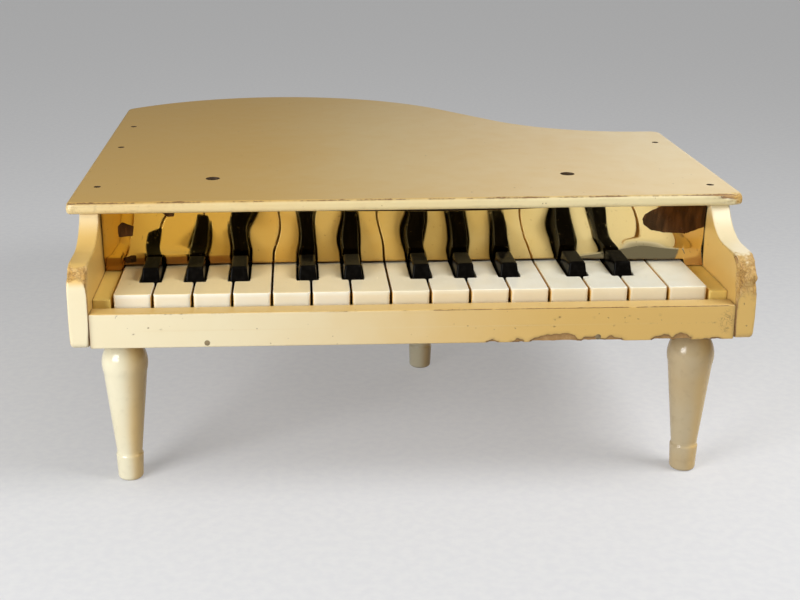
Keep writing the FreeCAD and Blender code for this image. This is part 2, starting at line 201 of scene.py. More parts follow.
class Wire:
    """An output socket of a node tree that can be used in sums."""

    def __init__(self, tree, socket=None):
        self.tree = tree
        self.socket = socket

    def node(self, kind, settings=None, inputs=None, output=0):
        """Adds a node: settings first, then each socket's value or link. Gives back one output."""
        made = self.tree.nodes.new(kind)
        for name, value in (settings or {}).items():
            setattr(made, name, value)
        for name, value in (inputs or {}).items():
            if isinstance(value, Wire):
                self.tree.links.new(made.inputs[name], value.socket)
            else:
                made.inputs[name].default_value = value
        return Wire(self.tree, made.outputs[output] if made.outputs else None)

    def maths(self, operation, *values):
        return self.node("ShaderNodeMath", {"operation": operation}, dict(enumerate(values)))

    def __add__(self, other):
        return self.maths("ADD", self, other)

    def __sub__(self, other):
        return self.maths("SUBTRACT", self, other)

    def __rsub__(self, other):
        return self.maths("SUBTRACT", other, self)

    def __mul__(self, other):
        return self.maths("MULTIPLY", self, other)

    __radd__ = __add__
    __rmul__ = __mul__

    def __abs__(self):
        return self.maths("ABSOLUTE", self)

    def between(self, low, high):
        """0 up to low, 1 from high on, and a smooth step between them."""
        limits = {"Value": self, "From Min": low, "From Max": high}
        return self.node("ShaderNodeMapRange", {"interpolation_type": "SMOOTHSTEP"}, limits)

    def mix(self, low, high):
        """The colour low where this value is 0 and the colour high where it is 1, wires or triples."""
        low, high = (c if isinstance(c, Wire) else (*c, 1.0) for c in (low, high))
        return self.node("ShaderNodeMix", {"data_type": "RGBA"}, {0: self, 6: low, 7: high}, 2)

    def noise(self, size, detail=2.0, stretch=(1, 1, 1), curl=0.0):
        """Soft noise in object space, its hills about `size` metres across, stretched along the axes."""
        place = self.node("ShaderNodeTexCoord", output="Object")
        scale = [1 / (size * s) for s in stretch]
        place = self.node("ShaderNodeMapping", None, {"Vector": place, "Scale": scale})
        inputs = {"Vector": place, "Scale": 1.0, "Detail": detail, "Distortion": curl}
        return self.node("ShaderNodeTexNoise", None, inputs)

    def mark(self, name):
        """A number painted on the piece's points."""
        return self.node("ShaderNodeAttribute", {"attribute_name": name}, output="Fac")


def new_finish(name):
    """An empty material, and a wire to build it from."""
    finish = bpy.data.materials.new(name)
    finish.use_nodes = True
    finish.node_tree.nodes.clear()
    return finish, Wire(finish.node_tree)


def close_finish(wire, base, roughness, height=None, depth=0.0, extra=None):
    """The shader with its inputs, and a bump when a height is given, joined to the output."""
    inputs = {"Base Color": base, "Roughness": roughness} | (extra or {})
    if height is not None:
        relief = {"Height": height, "Distance": depth, "Strength": 1.0}
        inputs["Normal"] = wire.node("ShaderNodeBump", None, relief)
    shader = wire.node("ShaderNodeBsdfPrincipled", None, inputs)
    wire.node("ShaderNodeOutputMaterial", None, {"Surface": shader})
    print("finish with", len(wire.tree.nodes), "nodes")


# %% [markdown]
# ## Old cream paint
# The case is softwood under one coat of cream paint that has yellowed unevenly. Where it has been knocked
# it is gone in crisp chips, with brown wood showing, and each chip is ringed darker as painted shadow of
# the broken paint's edge. Where hands and elbows have rubbed it, it fades softly into pale swirling wood,
# and dirt has settled in the seams. A painted picture could show that, but a picture fits one piece
# only. The finish here reads numbers that are painted on each piece's points, age, wear, rubbed, scuff
# and dirt, and breaks their limits up with fine noise, so that every board gets its own marks, and the
# same numbers sink the chips in the bump.

# %% Paint and the wood under it
cream_pale = (0.80, 0.71, 0.48)
cream_deep = (0.70, 0.45, 0.13)
# Grime, which also serves as painted shadow round the chips.
grime_and_shade = (0.17, 0.09, 0.035)
wood_pale = (0.62, 0.41, 0.19)
wood_brown = (0.40, 0.21, 0.06)
wood_thin = (0.36, 0.20, 0.065)
# Dark wood just inside a chip's edge: painted shadow under the paint's edge.
wood_in_edge_shadow = (0.16, 0.08, 0.03)
rubbed_pale = (0.64, 0.43, 0.16)
rubbed_deep = (0.52, 0.29, 0.07)
swirl_dark = (0.24, 0.11, 0.025)


def wood_colour(wire, light, dark, stretch, curl=0.0):
    """Wood: long streaks of grain, with finer streaks over them."""
    broad = wire.noise(4 * mm, 3.0, stretch, curl)
    fine = wire.noise(1.2 * mm, 2.0, stretch, curl)
    return (broad * 0.6 + fine * 0.4).between(0.36, 0.64).mix(light, dark)


def paint_finish(name, pale, deep, gloss):
    """Paint from pale to deep by its age, with specks, scuffs and dirt on it, brown chips where the wear
    is through, each ringed darker as painted shadow of its edge, and pale swirling wood where it is rubbed."""
    finish, wire = new_finish(name)
    mottle = wire.noise(14 * mm, 3.0)
    flakes = wire.noise(2.2 * mm, 3.0)
    wear = wire.mark("wear") + (flakes - 0.5) * 0.34
    bare = wear.between(0.56, 0.60)
    rim = wear.between(0.47, 0.56) * (1 - bare)
    speck = wire.noise(2.6 * mm, 1.0).between(0.77, 0.80)
    squiggle = 1 - abs(wire.noise(3.4 * mm, 2.0, curl=1.2) - 0.5).between(0.012, 0.05)
    scuff = (wire.mark("scuff") + (flakes - 0.5) * 0.6).between(0.3, 0.7) * squiggle
    age = wire.mark("age") + (wire.noise(120 * mm, 2.0) - 0.5) * 0.3 + (mottle - 0.5) * 0.16
    paint = age.between(-0.1, 1.1).mix(pale, deep)
    paint = (wear.between(0.24, 0.56) * 0.16 + speck * 0.6 + scuff * 0.45).mix(paint, grime_and_shade)
    # The rims of the chips get painted shadow here, and the seams get dirt.
    paint = (rim * 0.3 + wire.mark("dirt") * 0.9).mix(paint, grime_and_shade)
    fibres = wood_colour(wire, wood_pale, wood_brown, (1, 1, 1.6), 2.5)
    # Just inside a chip the wood starts dark: painted shadow under the paint's edge.
    wood = wear.between(0.58, 0.72).mix(wood_in_edge_shadow, wear.between(0.75, 1.1).mix(wood_thin, fibres))
    rub = wire.mark("rubbed")
    rubbed = (rub + (flakes - 0.5) * 0.5 + (mottle - 0.5) * 0.4).between(0.36, 0.62)
    swirl = 1 - abs(wire.noise(5 * mm, 2.0, curl=2.2) - 0.5).between(0.015, 0.06)
    grain = wood_colour(wire, rubbed_pale, rubbed_deep, (1, 1, 1.6), 2.5)
    deeper = (rub + (mottle - 0.5) * 0.5).between(0.65, 1.15)
    timber = (deeper * 0.8).mix(grain, rubbed_deep)
    timber = (swirl * (deeper * 0.5 + 0.3)).mix(timber, swirl_dark)
    base = rubbed.mix(bare.mix(paint, wood), timber)
    roughness = mottle * 0.10 + gloss + bare * 0.35 + rubbed * 0.25
    brushed = wire.noise(1.4 * mm, 2.0, (9, 1, 1)) * 0.06
    height = mottle * 0.2 + brushed - bare * 1.0 + bare * flakes * 1.2 - speck * 0.3 - scuff * 0.3
    height = height - rubbed * (swirl * 0.7 - flakes * 0.8)
    close_finish(wire, base, roughness, height, 0.25 * mm)
    return finish


def wood_finish(name, light, dark, stretch):
    finish, wire = new_finish(name)
    base = wood_colour(wire, light, dark, stretch)
    grain = wire.noise(1.2 * mm, 2.0, stretch)
    close_finish(wire, base, grain * 0.2 + 0.6, grain, 0.15 * mm)
    return finish


cream_paint = paint_finish("cream_paint", cream_pale, cream_deep, gloss=0.30)

# %% [markdown]
# ## Boards with eased edges
# A board is an outline with a thickness. It could be a box with a Bevel modifier, but then the edge could
# not be worn more in one place than in another. So the board is worked out as rings: from the middle of
# its low face out to the edge, round the edge, up the wall, round again and back to the middle.

# %% Outlines
quarter = math.pi / 2
apart = 0.01 * mm


def arc(centre, radius, turn):
    """The points centre + radius (cos turn, sin turn)."""
    return np.array(centre) + radius * np.column_stack([np.cos(turn), np.sin(turn)])


def full_turn(count):
    """Angles evenly all the way round."""
    return np.linspace(0, 4 * quarter, count + 1)[:-1]


def straight(start, end, count):
    """Evenly spaced points between a start and an end: count of them, less the two themselves."""
    return start + np.linspace(0, 1, count)[1:-1, None] * (end - start)


def outward(along):
    """Unit normals to the right of each way, which is outwards on an anticlockwise loop."""
    return np.column_stack([along[:, 1], -along[:, 0]]) / np.hypot(*along.T)[:, None]


def joined_arcs(arcs, step):
    """One loop from arcs, each (centre, radius, first angle, last angle), with straight runs between."""
    strokes = []
    for centre, radius, first, last in arcs:
        count = max(6, int(abs(last - first) * radius / step)) + 1
        strokes.append(arc(centre, radius, np.linspace(first, last, count)))
    loop = []
    for stroke, following in zip(strokes, strokes[1:] + strokes[:1]):
        gap = np.hypot(*(following[0] - stroke[-1]))
        run = straight(stroke[-1], following[0], max(1, int(gap / step)) + 1)
        loop += [stroke if gap > apart else stroke[:-1], run]
    return np.concatenate(loop)


def eased(corners, radii):
    """Arcs for the corners of a square-cornered outline, taken anticlockwise: each arc's centre lies one
    radius along both sides from its corner, and it turns left at an outer corner, right at an inner one."""
    corners = np.array(corners, float)
    back = np.roll(corners, 1, 0) - corners
    ahead = np.roll(corners, -1, 0) - corners
    back /= np.hypot(*back.T)[:, None]
    ahead /= np.hypot(*ahead.T)[:, None]
    radii = np.broadcast_to(radii, len(corners))
    centres = corners + (back + ahead) * radii[:, None]
    first = np.arctan2(*(-ahead).T[::-1])
    turn = np.sign(back[:, 1] * ahead[:, 0] - back[:, 0] * ahead[:, 1]) * quarter
    return [(c, r, a, a + t) for c, r, a, t in zip(centres, radii, first, turn)]


def rectangle(low, high, corner, step):
    """A rectangle between two opposite points, with rounded corners, anticlockwise."""
    (a0, b0), (a1, b1) = low, high
    return joined_arcs(eased([(a0, b0), (a1, b0), (a1, b1), (a0, b1)], corner), step)


# %% Boards
face_shares = np.array([0.06, 0.2, 0.35, 0.5, 0.65, 0.78, 0.88, 0.94, 0.97, 0.985, 0.995])
plane_rolls = {"xy": 0, "yz": 1, "zx": 2}
round_steps = 5


def board(outline, middle, low, high, edge, plane, bore=0.0, walls=4):
    """Rings of a board whose outline lies in the named plane, from its low face to its high face.
    On the faces a ring is core + share (edge ring - core), where the core is the middle, a point or a
    line of points, or the rim of a bore round it. Round an edge the ring is drawn in by edge (1 - sin t)
    along the outline's normal and lifted by edge (1 - cos t). Gives the rings, their normals and the
    distance to the edge."""
    along = np.roll(outline, -1, 0) - np.roll(outline, 1, 0)
    normal = outward(along)
    edge = np.broadcast_to(edge, len(outline))
    t = np.linspace(0, quarter, round_steps + 1)
    wall = np.linspace(0, 1, walls + 1)[1:-1]
    shares = np.concatenate([[0.0] if bore else [], face_shares])
    ones = np.ones_like
    share = np.concatenate([shares, ones(t), ones(wall), ones(t), shares[::-1]])
    turn = np.concatenate([shares * 0, t, wall * 0 + quarter, t[::-1], shares * 0])
    climb = np.concatenate([shares * 0, t * 0, wall, ones(t), ones(shares)])
    lean = np.concatenate([-ones(shares), -np.cos(t), wall * 0, np.cos(t[::-1]), ones(shares)])
    out = outline - normal * ((1 - np.sin(turn))[:, None] * edge)[..., None]
    spoke = outline - middle
    core = middle + bore * spoke / np.hypot(*spoke.T)[:, None]
    flat = core + share[:, None, None] * (out - core)
    lift = (1 - np.cos(turn))[:, None] * edge
    height = low + lift + climb[:, None] * (high - low - 2 * lift)
    rings = np.concatenate([flat, height[..., None]], -1)
    sideways = np.sqrt(1 - lean ** 2)[:, None, None] * normal
    upright = np.broadcast_to(lean[:, None, None], height.shape + (1,))
    normals = np.concatenate([sideways, upright], -1)
    to_edge = (1 - share[:, None]) * np.hypot(*np.moveaxis(out - core, -1, 0))
    to_edge = to_edge + np.minimum(climb, 1 - climb)[:, None] * (high - low - 2 * edge)
    roll = plane_rolls[plane]
    return np.roll(rings, roll, -1), np.roll(normals, roll, -1), to_edge


def edge_wear(points, to_edge, reach, seed):
    """Paint loss on the edges, fading as exp(-distance / reach), broken up by two sizes of noise."""
    broad = soft_noise(points, 24 * mm, seed)
    fine = soft_noise(points, 4 * mm, seed + 1)
    return fade(to_edge, reach) * (0.02 + 0.42 * broad + 0.30 * fine)


def yellowed(normals, upright, flat, low=0.4, high=0.95):
    """The age of the paint, which differs between upright faces and those that look up at the light."""
    return upright + (flat - upright) * smooth(low, high, normals[..., 2])


def knocked(rings, normals, wear, depth, seed):
    """Where the wear is through the paint, the wood is knocked in along the normal by up to depth."""
    rough = 0.5 + soft_noise(rings, 3 * mm, seed)
    return rings - normals * (depth * smooth(0.5, 0.8, wear) * rough)[..., None]


# %% [markdown]
# ## The lid
# The lid is one flat board with the outline of a grand piano: straight along the keys, a wide bulge at
# the back of the bass side, a straight run and a hollow towards the treble. Its arcs are those of the
# CAD model. Its paint has browned most on the bass side. The front edge is the one that gets knocked,
# and the right front corner is down to the wood. Peg holes and sunk nails are drilled with one
# Boolean that is applied straight away.

# %% The lid's outline
lid_low, lid_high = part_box("lid")
half_width = lid_high.x
case_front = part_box("key_slip")[0].y
bulge_radius = 177 * mm
bulge_centre = np.array([-87 * mm, lid_high.y - bulge_radius])
run_length = 60 * mm
lid_overhang = 8 * mm
rim_thick = 6 * mm
hollow_x = half_width - 15 * mm
lid_end_y = case_front + 260 * mm
side_step = np.array([hollow_x, lid_end_y]) - bulge_centre
hollow_square = (side_step ** 2).sum() - bulge_radius ** 2 - run_length ** 2
hollow_radius = hollow_square / (2 * (bulge_radius - side_step[1]))
hollow_centre = np.array([hollow_x, lid_end_y + hollow_radius])
across = hollow_centre - bulge_centre
run_angle = math.atan2(across[1], across[0]) + math.atan2(run_length, bulge_radius + hollow_radius)
print("hollow radius", round(hollow_radius / mm, 2), "mm, run at", round(math.degrees(run_angle), 2))


def lid_outline(step):
    """The front corners, the left corner, the bulge, the hollow and the right corner as joined arcs."""
    front, corner = 3 * mm, 8 * mm
    left_x = corner - half_width
    left_reach = math.sqrt((bulge_radius - corner) ** 2 - (left_x - bulge_centre[0]) ** 2)
    left = np.array([left_x, bulge_centre[1] + left_reach])
    left_turn = math.atan2(*(left - bulge_centre)[::-1])
    right = (half_width - corner, lid_end_y - corner)
    arcs = [
        ((front - half_width, lid_low.y + front), front, -quarter, -math.pi),
        (left, corner, math.pi, left_turn),
        (bulge_centre, bulge_radius, left_turn, run_angle),
        (hollow_centre, hollow_radius, run_angle - math.pi, -quarter),
        (right, corner, quarter, 0),
        ((half_width - front, lid_low.y + front), front, 0, -quarter),
    ]
    return joined_arcs(arcs, step)[::-1]


# %% Chips along the lid, and the lid itself
lid_paint = paint_finish("lid_paint", (0.76, 0.66, 0.385), (0.645, 0.405, 0.112), gloss=0.30)
lid_edge, lid_step = 2.5 * mm, 1.0 * mm
chipped_runs = [(-204, 5, 0.4), (-139, 6, 0.35), (-92, 5, 0.2), (-45, 14, 0.35), (-8, 8, 0.3), (20, 8, 0.25)]
chipped_runs += [(60, 6, 0.5), (80, 7, 0.6), (100, 6, 0.4), (131, 8, 0.3), (162, 6, 0.3), (190, 14, 0.35)]
lid_middle = (0, -25 * mm)
rings, normals, to_edge = board(lid_outline(lid_step), lid_middle, lid_low.z, lid_high.z, lid_edge, "xy")
wear = 0.72 * edge_wear(rings, to_edge, 1.5 * mm, 11)
front_edge = smooth(-4.5 * mm, -1.5 * mm, lid_low.y - rings[..., 1])
crest = front_edge * hump(normals[..., 2], 0.82, 0.14)
wear += crest * (0.10 + 0.36 * soft_noise(rings, 2.5 * mm, 15))
ragged = 0.3 + 1.2 * soft_noise(rings, 3 * mm, 17)
for x, reach, loss in chipped_runs:
    wear += loss * crest * hump(rings[..., 0], x * mm, reach * mm) * ragged
worn_corner = (half_width, lid_low.y, lid_high.z - 2 * mm)
left_corner = (-half_width, lid_low.y, lid_high.z - 2 * mm)
wear = np.minimum(wear, 0.63) + 0.6 * patch(rings, worn_corner, (14 * mm, 4 * mm, 5 * mm))
rubbed = 0.8 * patch(rings, worn_corner, (9 * mm, 7 * mm, 9 * mm))
rubbed += 0.55 * patch(rings, left_corner, (4 * mm, 5 * mm, 4 * mm))
rings = knocked(rings, normals, wear + 0.5 * rubbed, 0.9 * mm, 13)


def lid_age(x):
    """The age of the lid's top: oldest on the bass side, palest at the treble end."""
    return 0.70 + 0.35 * smooth(0, 150 * mm, -x) - 0.17 * smooth(120 * mm, 200 * mm, x)


towards_bass = smooth(0, 200 * mm, -rings[..., 0])
scuff = 0.4 * towards_bass * smooth(0.6, 0.9, -normals[..., 1])
edge_age = 0.42 * smooth(-200 * mm, 200 * mm, -rings[..., 0])
age = yellowed(normals, edge_age, lid_age(rings[..., 0]))
marks = {"wear": wear, "rubbed": rubbed, "age": age, "scuff": scuff}
lid = case_piece("painted_lid", "lid", rings, marks, lid_paint)

# %% Drill the lid
drill_sides = 40
rim_reach = 0.03 * mm
rim_angle = math.radians(50)
# The walls of the holes are near-black wood: bare wood, darkened as painted shade inside the holes.
shaded_hole_wood = wood_finish("shaded_hole_wood", (0.10, 0.055, 0.022), (0.05, 0.028, 0.012), (1, 1, 6))


def drilled(piece, holes, top, finish, marks):
    """Cuts round holes, each (x, y, radius, bottom), down from above the piece. The cutter carries the
    finish, so the walls of the holes take it over. The rims are new points, so they get the marks given,
    each as a function of x."""
    turn = full_turn(drill_sides)
    skins = []
    for x, y, radius, bottom in holes:
        ring = np.column_stack([arc((x, y), radius, turn), 0 * turn])
        skins.append(skin_faces(np.stack([ring + (0, 0, bottom), ring + (0, 0, top)]), False))
    drills = linked("drills", new_mesh("drills", *merged(skins), finish))
    cut = piece.modifiers.new("drilled", "BOOLEAN")
    cut.object = drills
    cut.solver = "EXACT"
    cut.material_mode = "TRANSFER"
    evaluated = piece.evaluated_get(bpy.context.evaluated_depsgraph_get())
    piece.data = bpy.data.meshes.new_from_object(evaluated)
    piece.modifiers.clear()
    piece.data.set_sharp_from_angle(angle=rim_angle)
    bpy.data.objects.remove(drills)
    places = np.empty(3 * len(piece.data.vertices), np.float32)
    piece.data.vertices.foreach_get("co", places)
    x, y, _ = places.reshape(-1, 3, 1).transpose(1, 0, 2)
    hole_x, hole_y, radius, _ = np.array(holes).T
    rim = (abs(np.hypot(x - hole_x, y - hole_y) - radius) < rim_reach).any(1)
    for mark, value in marks.items():
        layer = piece.data.attributes[mark].data
        numbers = np.empty(len(rim), np.float32)
        layer.foreach_get("value", numbers)
        numbers[rim] = value(x[rim, 0])
        layer.foreach_set("value", numbers)
    print(piece.name, "has", len(holes), "holes and", len(piece.data.polygons), "faces")


drill_spare = 5 * mm
peg_y = case_front + 120 * mm
peg_radius = 4.75 * mm
holes = [(x * mm, peg_y, peg_radius, lid_low.z - drill_spare) for x in (-124, 113)]
nail_x = 198 * mm
nail_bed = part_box("lid_nails")[1].z - 0.5 * mm
room_radius = bulge_radius - (lid_overhang + rim_thick)


def room_end(x):
    """Where the room inside the bent side ends, on the bulge's circle."""
    return bulge_centre[1] + np.sqrt(room_radius ** 2 - (x - bulge_centre[0]) ** 2)


left_end_y = room_end(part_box("left_side")[0].x)
right_end_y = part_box("right_side")[1].y
left_nails = np.interp([0, 0.61, 1], [0, 1], [lid_low.y + 43 * mm, left_end_y - 68 * mm])
right_nails = [lid_low.y + 26 * mm, right_end_y - 29 * mm]
nail_hole = 2.4 * mm
holes += [(-nail_x, y, nail_hole, nail_bed) for y in left_nails]
holes += [(nail_x, y, nail_hole, nail_bed) for y in right_nails]
rim_marks = dict.fromkeys(marks, np.zeros_like) | {"age": lid_age}
drilled(lid, holes, lid_high.z + drill_spare, shaded_hole_wood, rim_marks)

# %% [markdown]
# ## The two sides and their cheeks
# Each side is a board on edge that ends at the keys in a cheek: a round nose, a flat arm and a scoop up
# to the lid. Elbows have rubbed both noses down to bare wood, the right one worst, and there the edges are
# rounder too. The edge radius is an array along the outline, so one board can be crisp and worn. The two
# sides have aged apart: the left one is yellow on top and white in front, the right one the other way.

# %% Side boards
arm_z = lid_low.z - 17 * mm
nose_radius = 14 * mm
scoop_radius = 34 * mm
scoop_centre = (case_front + 32 * mm, arm_z + scoop_radius)
scoop_top = math.asin((lid_low.z - scoop_centre[1]) / scoop_radius)
end_bend = 40 * mm
nail_proud = 0.05 * mm
side_edge, worn_edge = 0.9 * mm, 1.6 * mm


def side_outline(low_z, end_y, step):
    """The three corners, the scoop and the nose of a side board, in the plane of y and z."""
    toe, corner = 3.5 * mm, 1.4 * mm
    arcs = [
        ((case_front + toe, low_z + toe), toe, 2 * quarter, 3 * quarter),
        ((end_y - corner, low_z + corner), corner, 3 * quarter, 4 * quarter),
        ((end_y - corner, lid_low.z - corner), corner, 0, quarter),
        (scoop_centre, scoop_radius, scoop_top, -quarter),
        ((case_front + nose_radius, arm_z - nose_radius), nose_radius, quarter, 2 * quarter),
    ]
    return joined_arcs(arcs, step)


def side_board(name, node, inward, nose, nose_size, nose_loss, ages, seed):
    """A side with its worn nose. The ages are those of the front, the top, the inner and the outer face,
    and close under the lid the top and the inner face have stayed younger.
    Its back end is stretched or shortened, in proportion, to meet the bent side's curve, and its outer
    face lies a hair behind the heads of the nails."""
    low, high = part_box(node)
    outline = side_outline(low.z, high.y, 1.0 * mm)
    nose = np.array([case_front + 3 * mm, arm_z + nose])
    edge = side_edge + patch(outline, nose, nose_size * 1.1) * worn_edge
    edge = edge + patch(outline, (case_front, low.z), 9 * mm) * worn_edge
    middle = (case_front + 110 * mm, low.z + 26 * mm)
    rings, normals, to_edge = board(outline, middle, low.x, high.x, edge, "yz", walls=12)
    wear = 0.88 * edge_wear(rings, to_edge, 1.4 * mm, seed)
    front = smooth(-40 * mm, -5 * mm, case_front - rings[..., 1])
    facing = inward * normals[..., 0]
    facing_in = smooth(0.2, 0.8, facing)
    inner_edge = fade(to_edge, 1.0 * mm) * facing_in
    wear += 0.85 * inner_edge * front * soft_noise(rings, 7 * mm, seed + 3)
    hills = soft_noise(rings, 8 * mm, seed + 5) + 0.6 * soft_noise(rings, 3 * mm, seed + 6)
    worn_nose = patch(rings[..., 1:], nose, nose_size) * fade(to_edge, 14 * mm)
    streak = fade(to_edge, 2 * mm) * smooth(-0.2, 0.6, facing)
    streak *= patch(rings[..., 1:], nose - (0, 8 * mm), 11 * mm)
    rubbed = nose_loss * (worn_nose * (0.45 + 0.6 * hills) * (1 - 0.6 * facing_in) + 0.7 * streak)
    rings = knocked(rings, normals, 0.9 * rubbed, 1.2 * mm, seed + 7)
    bend_from = high.y - end_bend
    reach = np.minimum(room_end(np.minimum(rings[..., 0], 0)), high.y) - bend_from
    past = np.maximum(rings[..., 1] - bend_from, 0)
    rings[..., 1] += past * (reach / end_bend - 1)
    outer = low.x + nail_proud if inward > 0 else high.x - nail_proud
    rings[..., 0] = inward * np.maximum(inward * rings[..., 0], inward * outer)
    front_age, top_age, inner_age, outer_age = ages
    under_lid = 1 - 0.6 * smooth(arm_z + 2 * mm, lid_low.z, rings[..., 2])
    age = yellowed(normals, front_age, top_age * under_lid, 0.05, 0.5)
    age = age + (inner_age * under_lid - age) * smooth(0.5, 0.9, facing)
    age = age + (outer_age - age) * smooth(0.5, 0.9, -facing)
    seam = patch(rings[..., 1:], (case_front, low.z + 10 * mm), (4 * mm, 13 * mm))
    dirt = seam * fade(to_edge, 0.8 * mm) * facing_in
    marks = {"wear": wear, "rubbed": rubbed, "age": age, "dirt": dirt}
    case_piece(name, node, rings, marks, cream_paint)


left_worn = {"nose": -2.5 * mm, "nose_size": 7 * mm, "nose_loss": 1.15, "ages": (0.0, 0.95, 1.1, 0.4)}
right_worn = {"nose": -8 * mm, "nose_size": 17 * mm, "nose_loss": 1.0, "ages": (1.1, 0.2, 1.0, 0.6)}
side_board("left_cheek_board", "left_side", inward=1, seed=31, **left_worn)
side_board("right_cheek_board", "right_side", inward=-1, seed=41, **right_worn)

# %% [markdown]
# ## The key slip
# The key slip is the plain strip in front of the keys. Its lower edge has been scraped over shelves, so
# the paint has come off it in long flakes on the treble side, and knuckles have left small dents in
# its face. The dents are soft patches of wear at a few places; the noise in the paint makes them ragged.

# %% Key slip
slip_low, slip_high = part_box("key_slip")
scraped_runs = [(47, 7, 0.6), (62, 5, 0.6), (80, 9, 1.8), (92, 6, 1.7), (106, 6, 0.8), (120, 7, 0.9)]
scraped_runs += [(150, 8, 1.2), (161, 6, 1.2), (178, 8, 0.5)]
slip_dents = [(84, 112), (87, 113), (84, 107.7), (107.6, 112.6), (119.5, 107.3), (127.2, 108.5)]
slip_dents += [(128.4, 113.4), (146.8, 113.7), (-150, 109), (-166, 106.5)]
dent_size = (1.6 * mm, 3 * mm, 1.2 * mm)
dent_loss = 0.62
outline = rectangle((slip_low.z, slip_low.x), (slip_high.z, slip_high.x), corner=1.1 * mm, step=0.8 * mm)
slip_core = np.clip(outline[:, 1], slip_low.x + 10 * mm, slip_high.x - 10 * mm)
slip_middle = np.column_stack([0 * slip_core + (slip_low.z + slip_high.z) / 2, slip_core])
rings, normals, to_edge = board(outline, slip_middle, slip_low.y, slip_high.y, edge=0.9 * mm, plane="zx")
wear = 0.62 * edge_wear(rings, to_edge, 1.3 * mm, 51)
front = smooth(-3 * mm, 0, slip_low.y - rings[..., 1])
low_edge = smooth(-7.5 * mm, -0.3 * mm, slip_low.z - rings[..., 2]) * (0.35 + 0.65 * front)
ragged = 0.6 * soft_noise(rings, 6 * mm, 57) + 0.6 * soft_noise(rings, 2.5 * mm, 58)
for x, reach, loss in scraped_runs:
    wear += loss * low_edge * hump(rings[..., 0], x * mm, reach * mm) * (0.2 + ragged)
wear = np.minimum(wear, 0.85)
top_edge = hump(normals[..., 2], 0.6, 0.3) * front
top_edge *= 0.35 + 0.65 * smooth(-60 * mm, 60 * mm, rings[..., 0])
wear += top_edge * (0.9 * soft_noise(rings, 5 * mm, 59) + 0.3 * soft_noise(rings, 2 * mm, 60) - 0.05)
for x, z in slip_dents:
    wear += dent_loss * patch(rings, (x * mm, slip_low.y, z * mm), dent_size)
scuff = 0.9 * patch(rings, (187 * mm, slip_low.y, 109 * mm), (6 * mm, 4 * mm, 9 * mm))
rings = knocked(rings, normals, wear, 0.8 * mm, 53)
rings[..., 1] = np.maximum(rings[..., 1], slip_low.y + nail_proud)
face_age = 1.1 * smooth(-190 * mm, 150 * mm, rings[..., 0])
seam = fade(slip_high.x - abs(rings[..., 0]), 0.9 * mm)
marks = {"wear": wear, "age": yellowed(normals, face_age, 0.85), "scuff": scuff, "dirt": seam}
case_piece("key_slip_board", "key_slip", rings, marks, cream_paint)

# %% [markdown]
# ## The bent rim
# Behind the straight sides the case is closed by one thin board, bent round the bulge and back through
# the hollow. It is a rounded profile carried along a path: two lines of stations, one outside and one
# inside, hold the profile's width, and the profile's height is the case's. One more ring just inside each
# end keeps the cut ends flat under smooth shading.

# %% Bent rim
rim_low, rim_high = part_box("bent_side")
bulge_stations, run_stations, hollow_stations, end_stations = 240, 40, 130, 6


def rim_line(inset):
    """Stations along the rim, drawn in from the lid's edge: bulge, straight run, hollow and a short end."""
    bulge, hollow = bulge_radius - inset, hollow_radius + inset
    start = math.acos((rim_low.x - bulge_centre[0]) / bulge)
    bend = arc(bulge_centre, bulge, np.linspace(start, run_angle, bulge_stations))
    scoop = arc(hollow_centre, hollow, np.linspace(run_angle - math.pi, -quarter, hollow_stations))
    run = straight(bend[-1], scoop[0], run_stations)
    tip = np.array([rim_high.x, scoop[-1][1]])
    return np.vstack([bend, run, scoop, straight(scoop[-1], tip, end_stations), tip])


outside = rim_line(lid_overhang)
inside = rim_line(lid_overhang + rim_thick)
profile = rectangle((0, rim_low.z), (rim_thick, rim_high.z), corner=0.8 * mm, step=2.0 * mm)
plan = outside[:, None] + (inside - outside)[:, None] * (profile[:, 0] / rim_thick)[:, None]
rings = np.concatenate([plan, np.broadcast_to(profile[:, 1:], plan.shape[:2] + (1,))], -1)
end_rings = rings[[0, -1]]
end_rings = end_rings + (end_rings.mean(1, keepdims=True) - end_rings) * 0.04
rings = np.concatenate([end_rings[:1], rings, end_rings[1:]])
to_edge = np.minimum(rings[..., 2] - rim_low.z, rim_high.z - rings[..., 2])
wear = 0.85 * edge_wear(rings, to_edge, 1.6 * mm, 61)
marks = {"wear": wear, "age": np.full(wear.shape, 0.45)}
case_piece("bent_rim", "bent_side", rings, marks, cream_paint)

# %% [markdown]
# ## Key blocks
# A block fills the gap at each end of the keyboard. The blocks were out of the light and kept the
# darker yellow that the cream went to before it faded, so they get the same paint in deeper colours.

# %% Key blocks
block_pale = (0.92, 0.68, 0.24)
block_deep = (0.88, 0.60, 0.11)
yellowed_paint = paint_finish("yellowed_paint", block_pale, block_deep, gloss=0.30)
for side in ("left", "right"):
    node = side + "_key_block"
    low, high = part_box(node)
    outline = rectangle((low.x, low.y), (high.x, high.y), corner=0.9 * mm, step=1.2 * mm)
    middle = ((low.x + high.x) / 2, (low.y + high.y) / 2)
    rings, _, to_edge = board(outline, middle, low.z, high.z, edge=0.7 * mm, plane="xy")
    wear = 0.55 * edge_wear(rings, to_edge, 1.2 * mm, 71)
    cheek_x = low.x if side == "left" else high.x
    seam = fade(abs(rings[..., 0] - cheek_x), 0.5 * mm)
    marks = {"wear": wear, "age": np.full(wear.shape, 0.5), "dirt": seam}
    case_piece(side + "_end_block", node, rings, marks, yellowed_paint)
